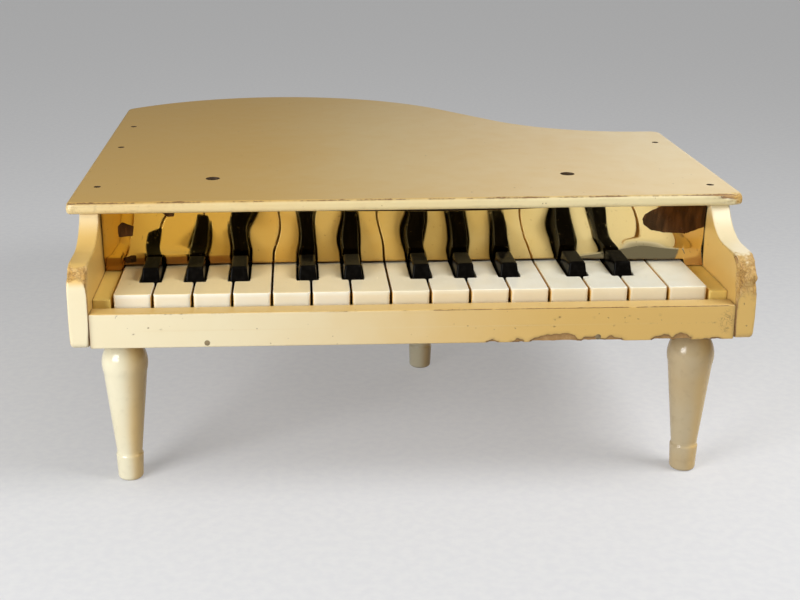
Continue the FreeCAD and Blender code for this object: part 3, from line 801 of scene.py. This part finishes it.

# %% [markdown]
# ## Turned legs
# The three legs are turned on a lathe: a neck, a round shoulder, a straight taper and a cup foot. A lathe
# is a surface of revolution, so the profile's radius and height are all that has to be drawn. The
# legs have a smoother, paler enamel than the case. Their right sides are painted amber: painted warm
# light falling from the right. The front right leg's left side is made darker.

# %% Leg finish


def enamel_finish():
    finish, wire = new_finish("leg_enamel")
    drift = wire.noise(35 * mm, 2.0)
    mottle = wire.noise(5 * mm, 3.0)
    worn = wire.mark("wear") + (wire.noise(1.8 * mm, 3.0) - 0.5) * 0.35
    age = wire.mark("age") + (drift - 0.5) * 0.5
    paint = age.between(0.0, 1.0).mix((0.77, 0.71, 0.51), (0.72, 0.50, 0.20))
    # The dirt mark darkens one side of a leg.
    soiled = mottle.between(0.5, 0.8) * 0.08 + worn.between(0.35, 0.6) * 0.5 + wire.mark("dirt")
    paint = soiled.mix(paint, grime_and_shade)
    roughness = mottle * 0.12 + worn.between(0.4, 0.7) * 0.3 + 0.10
    close_finish(wire, paint, roughness, mottle + drift, 0.10 * mm)
    return finish


leg_enamel = enamel_finish()

# %% Legs
leg_sides = 96
cup_tall = 17.5 * mm


def arc_through(a, b, c, count):
    """Points on the circle through three points: the centre is where the bisectors of ab and bc meet."""
    a, b, c = np.array(a), np.array(b), np.array(c)
    sides = np.array([b - a, c - b])
    centre = np.linalg.solve(sides, (sides * [(a + b) / 2, (b + c) / 2]).sum(1))
    angles = np.unwrap([math.atan2(*(p - centre)[::-1]) for p in (a, b, c)])
    turn = np.interp(np.linspace(0, 2, count), [0, 1, 2], angles)
    return arc(centre, np.hypot(*(a - centre)), turn)


def leg_profile(tall):
    """Radius and height from the foot up: a rounded cup with a rim, the taper, the shoulder, the neck."""
    neck, shoulder, ankle = 9.0 * mm, 13.5 * mm, 7.9 * mm
    cup, cup_low, cup_foot = 8.6 * mm, 8.0 * mm, 6.2 * mm
    round_z, lip = 2.4 * mm, 1.7 * mm
    foot_bulge = (cup_foot + cup_low) / 2 + 0.2 * round_z
    rim_bulge = (cup + ankle) / 2 + 0.2 * (cup - ankle)
    foot = arc_through((cup_foot, 0), (foot_bulge, round_z * 0.4), (cup_low, round_z), 8)
    rim = arc_through((cup, cup_tall - lip), (rim_bulge, cup_tall - 0.4 * lip), (ankle, cup_tall), 8)
    low, mid, top = (shoulder, tall - 25.4 * mm), (shoulder, tall - 13.9 * mm), (neck, tall - 6 * mm)
    ball = arc_through(low, mid, top, 20)
    cup_wall = straight(foot[-1], rim[0], 6)
    taper = straight(rim[-1], ball[0], 24)
    ends = np.linspace(0.05, 1, 5)[:-1, None] * foot[:1]
    crown = np.array([[neck, tall], [neck * 0.5, tall], [neck * 0.05, tall]])
    return np.vstack([ends, foot, cup_wall, rim, taper, ball, crown])


leg_turn = full_turn(leg_sides)
to_right = smooth(-0.3, 0.9, np.cos(leg_turn))
# Per leg: the age of its left side, the age of its right side, whose extra amber is painted warm light from
# the right, and how much darker its left side is made.
leg_looks = {
    "front_left_leg": (0.1, 1.0, 0.0),
    "rear_leg": (0.1, 0.9, 0.0),
    "front_right_leg": (0.5, 1.1, 0.38),
}
for name, (left_age, right_age_and_warm_light, left_darkening) in leg_looks.items():
    low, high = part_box(name)
    radius, height = leg_profile(high.z).T
    x = (low.x + high.x) / 2 + radius[:, None] * np.cos(leg_turn)
    y = (low.y + high.y) / 2 + radius[:, None] * np.sin(leg_turn)
    rings = np.stack([x, y, np.broadcast_to(height[:, None], x.shape)], -1)
    foot = smooth(-3 * mm, 0, -rings[..., 2]) + 0.6 * smooth(-1.5 * mm, 0, -abs(rings[..., 2] - cup_tall))
    wear = foot * (0.2 + 0.5 * soft_noise(rings, 6 * mm, 81))
    # Amber rises towards the right side: painted warm light from the right. The left side is darkened.
    age = left_age + (right_age_and_warm_light - left_age) * to_right
    dirt = left_darkening * (1 - to_right)
    marks = {"wear": wear, "age": age + 0 * wear, "dirt": dirt + 0 * wear}
    case_piece("turned_" + name, name, rings, marks, leg_enamel)

# %% [markdown]
# ## White keys
# The white keys are moulded in plastic that was once white. The tops have stayed ivory, and towards the
# bass they are warmed by painted light: light reflected from the gold mirror. The fronts are warmer
# towards the treble, and the sides have gone amber. A key is three shells in one object: the stepped
# playing part, the lever that rocks on the pivot rod, with its bore, and the hammer on the lever's
# tail. The step leaves room for the black keys, so each white key's outline is read from its
# neighbours.

# %% Key finishes


def ivory_finish():
    finish, wire = new_finish("ivory_plastic")
    stain = wire.mark("stain")
    tone = wire.mark("tone")
    drift = wire.noise(14 * mm, 2.0)
    smear = wire.noise(3 * mm, 3.0, (1, 5, 1))
    ivory = tone.mix((0.89, 0.87, 0.77), (0.86, 0.83, 0.69))
    ivory = (drift.between(0.35, 0.75) * 0.16).mix(ivory, (0.70, 0.60, 0.36))
    # A warm amber: on the tops towards the bass it is painted light reflected from the gold mirror, on the
    # fronts towards the treble a warmer tone.
    ivory = wire.mark("gold_bounce_and_warmth").mix(ivory, (0.92, 0.70, 0.33))
    ivory = stain.between(0.1, 0.9).mix(ivory, (0.82, 0.53, 0.15))
    roughness = smear.between(0.4, 0.8) * 0.14 + 0.14
    close_finish(wire, ivory, roughness, smear + drift, 0.02 * mm)
    return finish


def ebony_finish():
    finish, wire = new_finish("black_plastic")
    smear = wire.noise(2.5 * mm, 3.0, (1, 4, 1))
    dust = wire.noise(0.9 * mm, 2.0).between(0.66, 0.78) * wire.mark("wear")
    black = smear.between(0.4, 0.8).mix((0.003, 0.0025, 0.002), (0.007, 0.006, 0.005))
    black = (dust * 0.06).mix(black, (0.25, 0.20, 0.13))
    roughness = smear.between(0.3, 0.8) * 0.12 + 0.08 + dust * 0.2
    close_finish(wire, black, roughness, smear, 0.02 * mm, {"Specular IOR Level": 0.03})
    return finish


ivory_plastic = ivory_finish()
black_plastic = ebony_finish()

# %% Levers and hammers
pivot = np.array([-126.5 * mm, 119.0 * mm])
pivot_bore = 2.3 * mm
neck_end = -135 * mm
tail_end = -18.5 * mm
lever_low, lever_top = 113.5 * mm, 124.5 * mm
lever_half = 4 * mm
lever_lap = 4 * mm
lever_corner, lever_edge, lever_step = 0.8 * mm, 0.4 * mm, 2.5 * mm
hammer_long, hammer_top = 24 * mm, 139 * mm
hammer_sunk = 0.1 * mm


def lever_shells(x, marks):
    """The lever as a board bored at the pivot, and the hammer as a block with a rounded top on its tail.
    The bore is wide enough for its flat facets to clear the rod as the key turns."""
    low, high = x - lever_half, x + lever_half
    outline = rectangle((neck_end - lever_lap, lever_low), (tail_end, lever_top), lever_corner, lever_step)
    lever, _, _ = board(outline, pivot, low, high, lever_edge, "yz", pivot_bore)
    front, foot = tail_end - hammer_long, lever_top - hammer_sunk
    corners = [(front, foot), (tail_end, foot), (tail_end, hammer_top), (front, hammer_top)]
    outline = joined_arcs(eased(corners, np.array([0.6, 0.6, 3, 3]) * mm), lever_step)
    hammer, _, _ = board(outline, outline.mean(0), low, high, lever_edge, "yz")
    fill = [{m: np.full(r.shape[:2], v) for m, v in marks.items()} for r in (lever, hammer)]
    return [(lever, True, fill[0]), (hammer, False, fill[1])]


# %% White keys
key_of = {members[0]: body for body, members in bodies.items() if body != "case"}
sharps = [node for node in key_of if node.endswith("_sharp")]
naturals = [node for node in key_of if node not in sharps]
sharp_xs = np.array([(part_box(n)[0].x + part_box(n)[1].x) / 2 for n in sharps])
slot_half = 6.8 * mm
head_long = 24 * mm
head_under = 116 * mm
key_top = 125.5 * mm
key_spread = 0.25 * mm
key_edge, key_step = 0.7 * mm, 2 * mm
head_corner, neck_corner = 2.2 * mm, 0.9 * mm
step_corner, slot_corner = 1.2 * mm, 1.0 * mm
slot_reach = 5 * mm
tones = np.random.default_rng(90).random(len(naturals))


def neck_side(edge_x, inward):
    """The neck's limit on one side: beside a black key's slot, or the head's own edge."""
    near = sharp_xs[abs(sharp_xs - edge_x) < slot_reach]
    return near[0] + inward * slot_half if len(near) else edge_x


def white_outline(x0, x1, front):
    """The head, and the neck behind it, narrower wherever a black key stands beside it."""
    left, right = neck_side(x0, 1), neck_side(x1, -1)
    step_y = front + head_long
    corners = [((x0, front), head_corner), ((x1, front), head_corner)]
    if right < x1:
        corners += [((x1, step_y), step_corner), ((right, step_y), slot_corner)]
    corners += [((right, neck_end), neck_corner), ((left, neck_end), neck_corner)]
    if left > x0:
        corners += [((left, step_y), slot_corner), ((x0, step_y), step_corner)]
    places, radii = zip(*corners)
    middle = ((left + right) / 2, step_y - 4 * mm)
    return joined_arcs(eased(places, radii), key_step), middle


for node, tone in zip(naturals, tones):
    low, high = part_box(node)
    outline, middle = white_outline(low.x, high.x, low.y)
    top = key_top - key_spread * tone
    rings, normals, _ = board(outline, middle, head_under, top, key_edge, "xy")
    under = smooth(-5 * mm, 0, head_under - rings[..., 2])
    stain = np.maximum(smooth(0.6, 1.0, abs(normals[..., 0])), 0.35 * under)
    facing = smooth(0.5, 0.9, -normals[..., 1])
    stain = np.maximum(stain, 0.32 * facing * (1 - smooth(40 * mm, 160 * mm, middle[0])))
    stain *= 1 - smooth(-1.5 * mm, -0.2 * mm, rings[..., 2] - top)
    # The tops towards the bass get painted light reflected from the gold mirror; the fronts get warmer
    # towards the treble.
    gold_bounce_and_warmth = 0.85 * smooth(-120 * mm, 150 * mm, -middle[0]) * smooth(0.5, 0.9, normals[..., 2])
    gold_bounce_and_warmth += 0.45 * smooth(-100 * mm, 60 * mm, middle[0]) * facing
    marks = {"stain": stain, "tone": np.full(stain.shape, tone), "gold_bounce_and_warmth": gold_bounce_and_warmth}
    plain = {"stain": 0.8, "tone": tone, "gold_bounce_and_warmth": 0.0}
    shells = [(rings, False, marks)] + lever_shells(middle[0], plain)
    add_piece("white_" + node, shells, ivory_plastic, key_of[node], [node])

# %% [markdown]
# ## Black keys
# A black key is a low bar between the necks with a raised cap on it. The cap narrows upwards, its front
# slopes back and its top edges are rounded. Its rings are rounded rectangles at rising levels, drawn
# in together at the top.

# %% Black keys
cap_back = -147.5 * mm
cap_top = 133.5 * mm
cap_half, cap_narrows = 6 * mm, 1.15 * mm
cap_slopes = 2.6 * mm
cap_corner, cap_ease = 1.3 * mm, 1.1 * mm


def cap_rings(x, front):
    """Rounded rectangles that grow narrower and slope back evenly as the level climbs, are then drawn in
    by ease (1 - cos t) while it climbs by ease sin t, and then shrink to the middle of the top."""
    base = lever_top - 0.5 * mm
    t = np.linspace(0, quarter, 6)
    rounding = cap_top - cap_ease * (1 - np.sin(t))
    level = np.concatenate([np.linspace(base, rounding[0], 6)[:-1], rounding])
    drawn = np.concatenate([np.zeros(5), cap_ease * (1 - np.cos(t))])
    share = (level - base) / (cap_top - base)
    half = cap_half - cap_narrows * share - drawn
    start = front + cap_slopes * share + drawn
    end = cap_back - drawn
    corner = np.maximum(cap_corner - drawn, 0.4 * mm)
    shrink = np.concatenate([np.ones(len(level)), [0.9, 0.6, 0.3, 0.05]])
    pick = np.concatenate([np.arange(len(level)), np.full(4, len(level) - 1)])
    turn = np.linspace(0, quarter, 7) + quarter * np.arange(4)[:, None]
    side_x = np.array([1, -1, -1, 1])[:, None]
    side_y = np.array([1, 1, -1, -1])[:, None]
    half, start, end, corner, level = (v[pick][:, None, None] for v in (half, start, end, corner, level))
    shrink = shrink[:, None, None]
    flat_x = shrink * (side_x * (half - corner) + corner * np.cos(turn))
    flat_y = shrink * (side_y * ((end - start) / 2 - corner) + corner * np.sin(turn))
    rings = np.stack([x + flat_x, (start + end) / 2 + flat_y, level + 0 * flat_x], -1)
    return rings.reshape(len(pick), -1, 3)


for node, x in zip(sharps, sharp_xs):
    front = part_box(node)[0].y
    outline = rectangle((x - cap_half, front), (x + cap_half, neck_end), neck_corner, lever_step)
    middle = (x, (front + neck_end) / 2)
    base, _, _ = board(outline, middle, head_under, lever_top, lever_edge, "xy")
    cap = cap_rings(x, front)
    dusty = smooth(-3 * mm, 0, cap[..., 2] - cap_top)
    shells = [(base, False, {"wear": np.zeros(base.shape[:2])}), (cap, False, {"wear": dusty})]
    shells += lever_shells(x, {"wear": 0.0})
    add_piece("black_" + node, shells, black_plastic, key_of[node], [node])

# %% [markdown]
# ## The gold mirror
# Behind the keys a sheet of gold foil makes the keyboard look twice as deep. It was never flat: it
# leans forward more and more towards its top, it has come away at both ends, where a crease curls its
# foot, and it ripples, so that the keys' reflections waver in it. Its two lower corners hang down to
# the key blocks. The gold is palest at the treble end and has browned towards the bass. Along its foot
# and around the crease on the bass side it is darkened further: painted reflection of the dark gap
# beneath it. A few patches of dark streaky brown are painted reflections of dark surroundings. Bump
# alone would make the mirror waver too, but the sheet would still be flat from the side, so the
# ripples are in the sheet itself: a sum of long slanting waves.

# %% Mirror finish


def mirror_finish():
    finish, wire = new_finish("gold_foil")
    haze = wire.noise(30 * mm, 3.0)
    spots = wire.noise(2.4 * mm, 3.0)
    streaks = wire.noise(4 * mm, 2.0, (1, 1, 8))
    # The wear mark browns the gold: tarnish at the ends, and along the foot and round the bass-side crease
    # painted reflection of the dark gap beneath the sheet.
    tarnish_and_dark_reflection = wire.mark("wear") + (wire.noise(6 * mm, 3.0) - 0.5) * 0.5
    gold = haze.between(0.3, 0.7).mix((0.71, 0.53, 0.21), (0.66, 0.46, 0.15))
    gold = wire.mark("pale").mix(gold, (0.86, 0.70, 0.37))
    gold = wire.mark("age").mix(gold, (0.78, 0.54, 0.14))
    browned_and_dark_reflection = tarnish_and_dark_reflection.between(0.4, 0.8) * 0.6 + tarnish_and_dark_reflection.between(0.9, 1.4) * 0.3
    gold = browned_and_dark_reflection.mix(gold, (0.36, 0.17, 0.05))
    gold = (spots.between(0.66, 0.74) * 0.35).mix(gold, (0.30, 0.16, 0.05))
    # Patches where the gold gives way to dark streaky brown: painted reflections of dark surroundings.
    dark_reflection = (wire.mark("dark_reflection") + (wire.noise(3 * mm, 3.0) - 0.5) * 0.6).between(0.48, 0.54)
    dark_reflection_colour = streaks.between(0.35, 0.7).mix((0.05, 0.028, 0.015), (0.13, 0.065, 0.03))
    gold = dark_reflection.mix(gold, dark_reflection_colour)
    roughness = haze.between(0.5, 0.9) * 0.10 + spots.between(0.62, 0.8) * 0.25 + 0.045 + dark_reflection * 0.2
    close_finish(wire, gold, roughness, extra={"Metallic": 1.0})
    return finish


gold_foil = mirror_finish()

# %% Mirror sheet
sheet_low, sheet_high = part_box("mirror_sheet")
sheet_thick = 0.35 * mm
middle_lean = np.tan(np.radians([5.0, 24.0]))
end_lean = np.tan(np.radians([0.5, 15.0]))
ends_forward = 3.5 * mm
foot_slopes = (-0.55, 0.30)
crease_high = 6 * mm
crease_soft = 0.5 * mm
spare_room = 1.5 * mm
cut_edge = 0.05 * mm
dark_patch_soft = 1.2 * mm
corner_from, corner_hang = 180.2 * mm, 4 * mm
top_spare, top_dip = 1.9 * mm, 1.8 * mm
foil_columns, foil_rows = 380, 60
# Outlines of the patches of painted dark reflection, in mm of x and z.
dark_reflection_patches = [
    [(-181.5, 146.6), (-172.5, 147.3), (-171.2, 154), (-178.7, 156.9), (-181.5, 153.9)],
    [(-178, 128), (-171.5, 129), (-171, 134), (-174, 134.5), (-179.4, 132.2)],
    [(-150.2, 160), (-146, 160), (-144.3, 166), (-156.3, 166)],
    [(166, 144.3), (180, 143.6), (193, 148.5), (193, 167), (172, 167), (158, 160.5), (153, 157.5),
     (151.5, 153.5), (153, 149.5), (158, 145.9)],
]
ripple_count = 12
ripple_slope = 0.0038
ripple_rng = np.random.default_rng(7)
ripple_long = ripple_rng.uniform(32, 80, ripple_count) * mm
ripple_way = ripple_rng.uniform(0.25, 1.1, ripple_count) * ripple_rng.choice([-1, 1], ripple_count)
ripple_start = ripple_rng.uniform(0, 4 * quarter, ripple_count)


def ripples(x, z):
    """The sum of sin(2 pi (x cos way + z sin way) / length + start), longer waves being taller."""
    along = x[..., None] * np.cos(ripple_way) + z[..., None] * np.sin(ripple_way)
    return (ripple_slope * ripple_long * np.sin(4 * quarter * along / ripple_long + ripple_start)).sum(-1)


def stands_off(x, z):
    """How far the sheet comes forward. Above a soft crease, rise = soft log(1 + exp(height / soft)), its
    slope grows evenly from a value at the crease to one at the top. Both values are smaller at the two
    ends, and there the whole sheet stands further forward. Under the crease, which lies higher at the
    ends, the foot has a slope of its own: back at the bass end, forward at the treble end."""
    middle = smooth(-168 * mm, -95 * mm, x) * smooth(-175 * mm, -100 * mm, -x)
    ends = smooth(65 * mm, 150 * mm, -x) + smooth(75 * mm, 150 * mm, x)
    above = (z - sheet_low.z - crease_high * ends) / crease_soft
    rise = np.logaddexp(0, above) * crease_soft
    fall = np.logaddexp(0, -above) * crease_soft
    low, high = (end + (mid - end) * middle for end, mid in zip(end_lean, middle_lean))
    bowed = low * rise + (high - low) / 2 * rise ** 2 / (sheet_high.z - sheet_low.z)
    foot_slope = np.where(x < 0, *foot_slopes)
    return ends_forward * (1 - middle) + bowed + foot_slope * fall * ends


def inside_outline(x, z, corners):
    """1 inside a shape with straight edges, 0 outside. The corners run anticlockwise, and a point's
    distance outside the shape is its greatest distance outside any one edge."""
    corners = np.array(corners) * mm
    along = np.roll(corners, -1, 0) - corners
    outside = ((np.stack([x, z], -1)[..., None, :] - corners) * outward(along)).sum(-1).max(-1)
    return smooth(-dark_patch_soft, dark_patch_soft, -outside)


across_x = np.linspace(sheet_low.x + cut_edge, sheet_high.x - cut_edge, foil_columns)
across_x = np.concatenate([[sheet_low.x], across_x, [sheet_high.x]])
up_share = np.concatenate([[0], np.linspace(0.002, 0.998, foil_rows), [1]])
sheet_top = sheet_high.z + top_spare - top_dip * hump(across_x, 25 * mm, 70 * mm)
sheet_foot = sheet_low.z - corner_hang * (abs(across_x) > corner_from)
z = sheet_foot[:, None] + (sheet_top - sheet_foot)[:, None] * up_share
x = np.broadcast_to(across_x[:, None], z.shape)
held = smooth(1 * mm, 14 * mm, z - sheet_low.z)
forward = stands_off(x, z) + ripples(x, z) * held
room = sheet_high.y - sheet_thick - sheet_low.y + spare_room
print("foil comes forward by", forward.min() / mm, "to", forward.max() / mm, "mm, room", room / mm)
forward = np.clip(forward, 0, room)
front_face = np.stack([x, sheet_high.y - sheet_thick - forward, z], -1)
back_face = front_face + (0, sheet_thick, 0)
rings = np.concatenate([front_face, back_face[:, ::-1]], 1)
ends = np.minimum(x - sheet_low.x, sheet_high.x - x)
# Darker along the foot and round the crease on the bass side: painted reflection of the dark gap under the
# sheet. Browned at both ends.
wear = 0.75 * fade(np.maximum(z - sheet_low.z, 0), 2 * mm) + 0.6 * fade(ends, 4 * mm)
wear += 1.3 * smooth(-6.5 * mm, -4.5 * mm, sheet_low.z - z) * smooth(85 * mm, 125 * mm, -x)
# The patches of painted dark reflection.
dark_reflection = sum(inside_outline(x, z, corners) for corners in dark_reflection_patches)
age, pale = smooth(70 * mm, 150 * mm, -x), smooth(30 * mm, 130 * mm, x)
marks = {"wear": wear, "dark_reflection": dark_reflection, "age": age, "pale": pale}
marks = {mark: np.concatenate([values, values[:, ::-1]], 1) for mark, values in marks.items()}
case_piece("foil_mirror", "mirror_sheet", rings, marks, gold_foil)
at_caps = front_face[(z < cap_top) & (abs(x) < 140 * mm)]
print("gap to the black keys", (at_caps[:, 1].min() - cap_back) / mm, "mm")

# %% [markdown]
# ## The parts that stay as they came
# Rails, posts, nails, rods and felts are right as the CAD model has them. They get finishes: raw wood
# with its grain, dark stain behind the mirror, steel with rust or old paint on it, cast iron and felt.

# %% Plain finishes


def metal_finish(name, clean, rusty, rust, shine):
    finish, wire = new_finish(name)
    spread = wire.noise(2.5 * mm, 4.0)
    stained = spread.between(0.5 - rust, 0.8 - rust)
    base = stained.mix(clean, rusty)
    roughness, metallic = stained * 0.35 + shine, 0.9 - stained * 0.7
    close_finish(wire, base, roughness, spread, 0.08 * mm, {"Metallic": metallic})
    return finish


def felt_finish():
    finish, wire = new_finish("rail_felt")
    fluff = wire.noise(0.7 * mm, 4.0)
    base = fluff.between(0.3, 0.7).mix((0.30, 0.05, 0.04), (0.42, 0.10, 0.08))
    close_finish(wire, base, fluff * 0.1 + 0.85, fluff, 0.3 * mm)
    return finish


raw_wood = wood_finish("raw_wood", (0.52, 0.36, 0.19), (0.36, 0.21, 0.10), (9, 1, 1))
dark_stain = wood_finish("dark_stain", (0.13, 0.05, 0.02), (0.05, 0.02, 0.01), (9, 1, 1))
dull_steel = metal_finish("dull_steel", (0.12, 0.10, 0.08), (0.045, 0.026, 0.014), rust=0.12, shine=0.4)
painted_steel = metal_finish("painted_steel", (0.12, 0.09, 0.06), (0.28, 0.21, 0.11), rust=0.25, shine=0.3)
bright_steel = metal_finish("bright_steel", (0.55, 0.54, 0.52), (0.22, 0.14, 0.08), rust=-0.1, shine=0.25)
cast_iron = metal_finish("cast_iron", (0.10, 0.10, 0.10), (0.12, 0.06, 0.03), rust=0.0, shine=0.5)
rail_felt = felt_finish()

# %% Hand the finishes out
plain_nodes = [
    (raw_wood, ["bottom_board", "glue_blocks", "front_rail", "back_rail", "balance_rail"]),
    (raw_wood, ["left_bar_post", "right_bar_post"]),
    (dark_stain, ["fallboard"]),
    (dull_steel, ["lid_nails"]),
    (painted_steel, ["key_slip_nails", "side_nails"]),
    (bright_steel, ["leg_studs", "tone_bar_screws", "tone_rods", "pivot_rod", "pivot_brackets"]),
    (cast_iron, ["tone_bar"]),
    (rail_felt, ["front_rail_felt", "back_rail_felt"]),
]
for finish, names in plain_nodes:
    for name in names:
        nodes[name].data.materials.clear()
        nodes[name].data.materials.append(finish)
print("plain finishes on", sum(len(names) for _, names in plain_nodes), "nodes")

# %% [markdown]
# ## Floor, light and camera
# A pale floor, a soft window light from the front left and a ceiling light above the right. Behind the
# right side the backdrop glows, and that glow glances off the lid as its sheen. The camera stands where
# the photographer did: a little left of the middle, looking down at the keys.

# %% Floor
floor_lift = 0.27
floor_half = 8.0


def floor_finish():
    """A matt pale cloth. What the camera and the shiny pieces see of it is lifted a little, so that the
    floor stays pale far from the lamps."""
    finish, wire = new_finish("pale_floor")
    cloth = wire.noise(6 * mm, 3.0)
    base = cloth.between(0.3, 0.7).mix((0.47, 0.47, 0.48), (0.50, 0.50, 0.50))
    matt = wire.node("ShaderNodeBsdfDiffuse", None, {"Color": base})
    seen = wire.node("ShaderNodeLightPath", output="Is Camera Ray")
    seen = seen + wire.node("ShaderNodeLightPath", output="Is Glossy Ray")
    lift = wire.node("ShaderNodeEmission", None, {"Strength": seen * floor_lift})
    both = wire.node("ShaderNodeAddShader", None, {0: matt, 1: lift})
    wire.node("ShaderNodeOutputMaterial", None, {"Surface": both})
    return finish


floor_corners = floor_half * np.array([(-1, -1, 0), (1, -1, 0), (1, 1, 0), (-1, 1, 0)])
floor = linked("floor", new_mesh("floor", floor_corners, [(0, 1, 2, 3)], floor_finish()))

# %% Light
world_level = 0.22
glow_level = 1.3
glow_way = np.array([0.5, 0.82, 0.26])
world = bpy.data.worlds.new("studio")
world.use_nodes = True
world.node_tree.nodes.clear()
sky = Wire(world.node_tree)
way = sky.node("ShaderNodeTexCoord", output="Generated")
aim = (glow_way / np.linalg.norm(glow_way)).tolist()
near = sky.node("ShaderNodeVectorMath", {"operation": "DOT_PRODUCT"}, {0: way, 1: aim}, "Value")
strength = near.between(0.86, 0.99) * glow_level + world_level
backdrop = sky.node("ShaderNodeBackground", None, {"Strength": strength})
sky.node("ShaderNodeOutputWorld", None, {"Surface": backdrop})
bpy.context.scene.world = world
bpy.context.scene.view_settings.view_transform = "Standard"


def soft_light(name, place, target, width, power):
    """A large square of light at a place, turned to face the target."""
    lamp = bpy.data.lights.new(name, "AREA")
    lamp.shape = "RECTANGLE"
    lamp.size = width
    lamp.size_y = width
    lamp.energy = power
    light = linked(name, lamp)
    light.location = place
    light.rotation_euler = (Vector(target) - Vector(place)).to_track_quat("-Z", "Y").to_euler()
    light.visible_camera = False


soft_light("window_light", (-0.77, -0.86, 0.42), (-0.05, -0.1, 0.12), width=0.55, power=10.4)
soft_light("ceiling_light", (0.62, -0.38, 0.80), (0.0, -0.1, 0.12), width=0.45, power=6.6)

# %% Camera
eye = np.array([-67.31, -942.84, 372.25]) * mm
yaw, pitch, roll = np.radians([0.969, 16.81, -0.551])
focal, wide, tall = 1300, 800, 600
middle_px = (320, 256.23)
level = np.array([math.sin(yaw), math.cos(yaw), 0])
forward = level * math.cos(pitch) + np.array([0, 0, -math.sin(pitch)])
right = np.array([math.cos(yaw), -math.sin(yaw), 0])
up = np.cross(right, forward)
tilted_right = math.cos(roll) * right + math.sin(roll) * up
tilted_up = math.cos(roll) * up - math.sin(roll) * right
lens = bpy.data.cameras.new("camera")
lens.sensor_width = 36
lens.lens = lens.sensor_width * focal / wide
lens.shift_x = (wide / 2 - middle_px[0]) / wide
lens.shift_y = (middle_px[1] - tall / 2) / wide
camera = linked("camera", lens)
placed = np.eye(4)
placed[:3] = np.column_stack([tilted_right, tilted_up, -forward, eye])
camera.matrix_world = Matrix(placed.tolist())
bpy.context.scene.camera = camera
print("camera", np.round(eye, 3), "lens", round(lens.lens, 2))
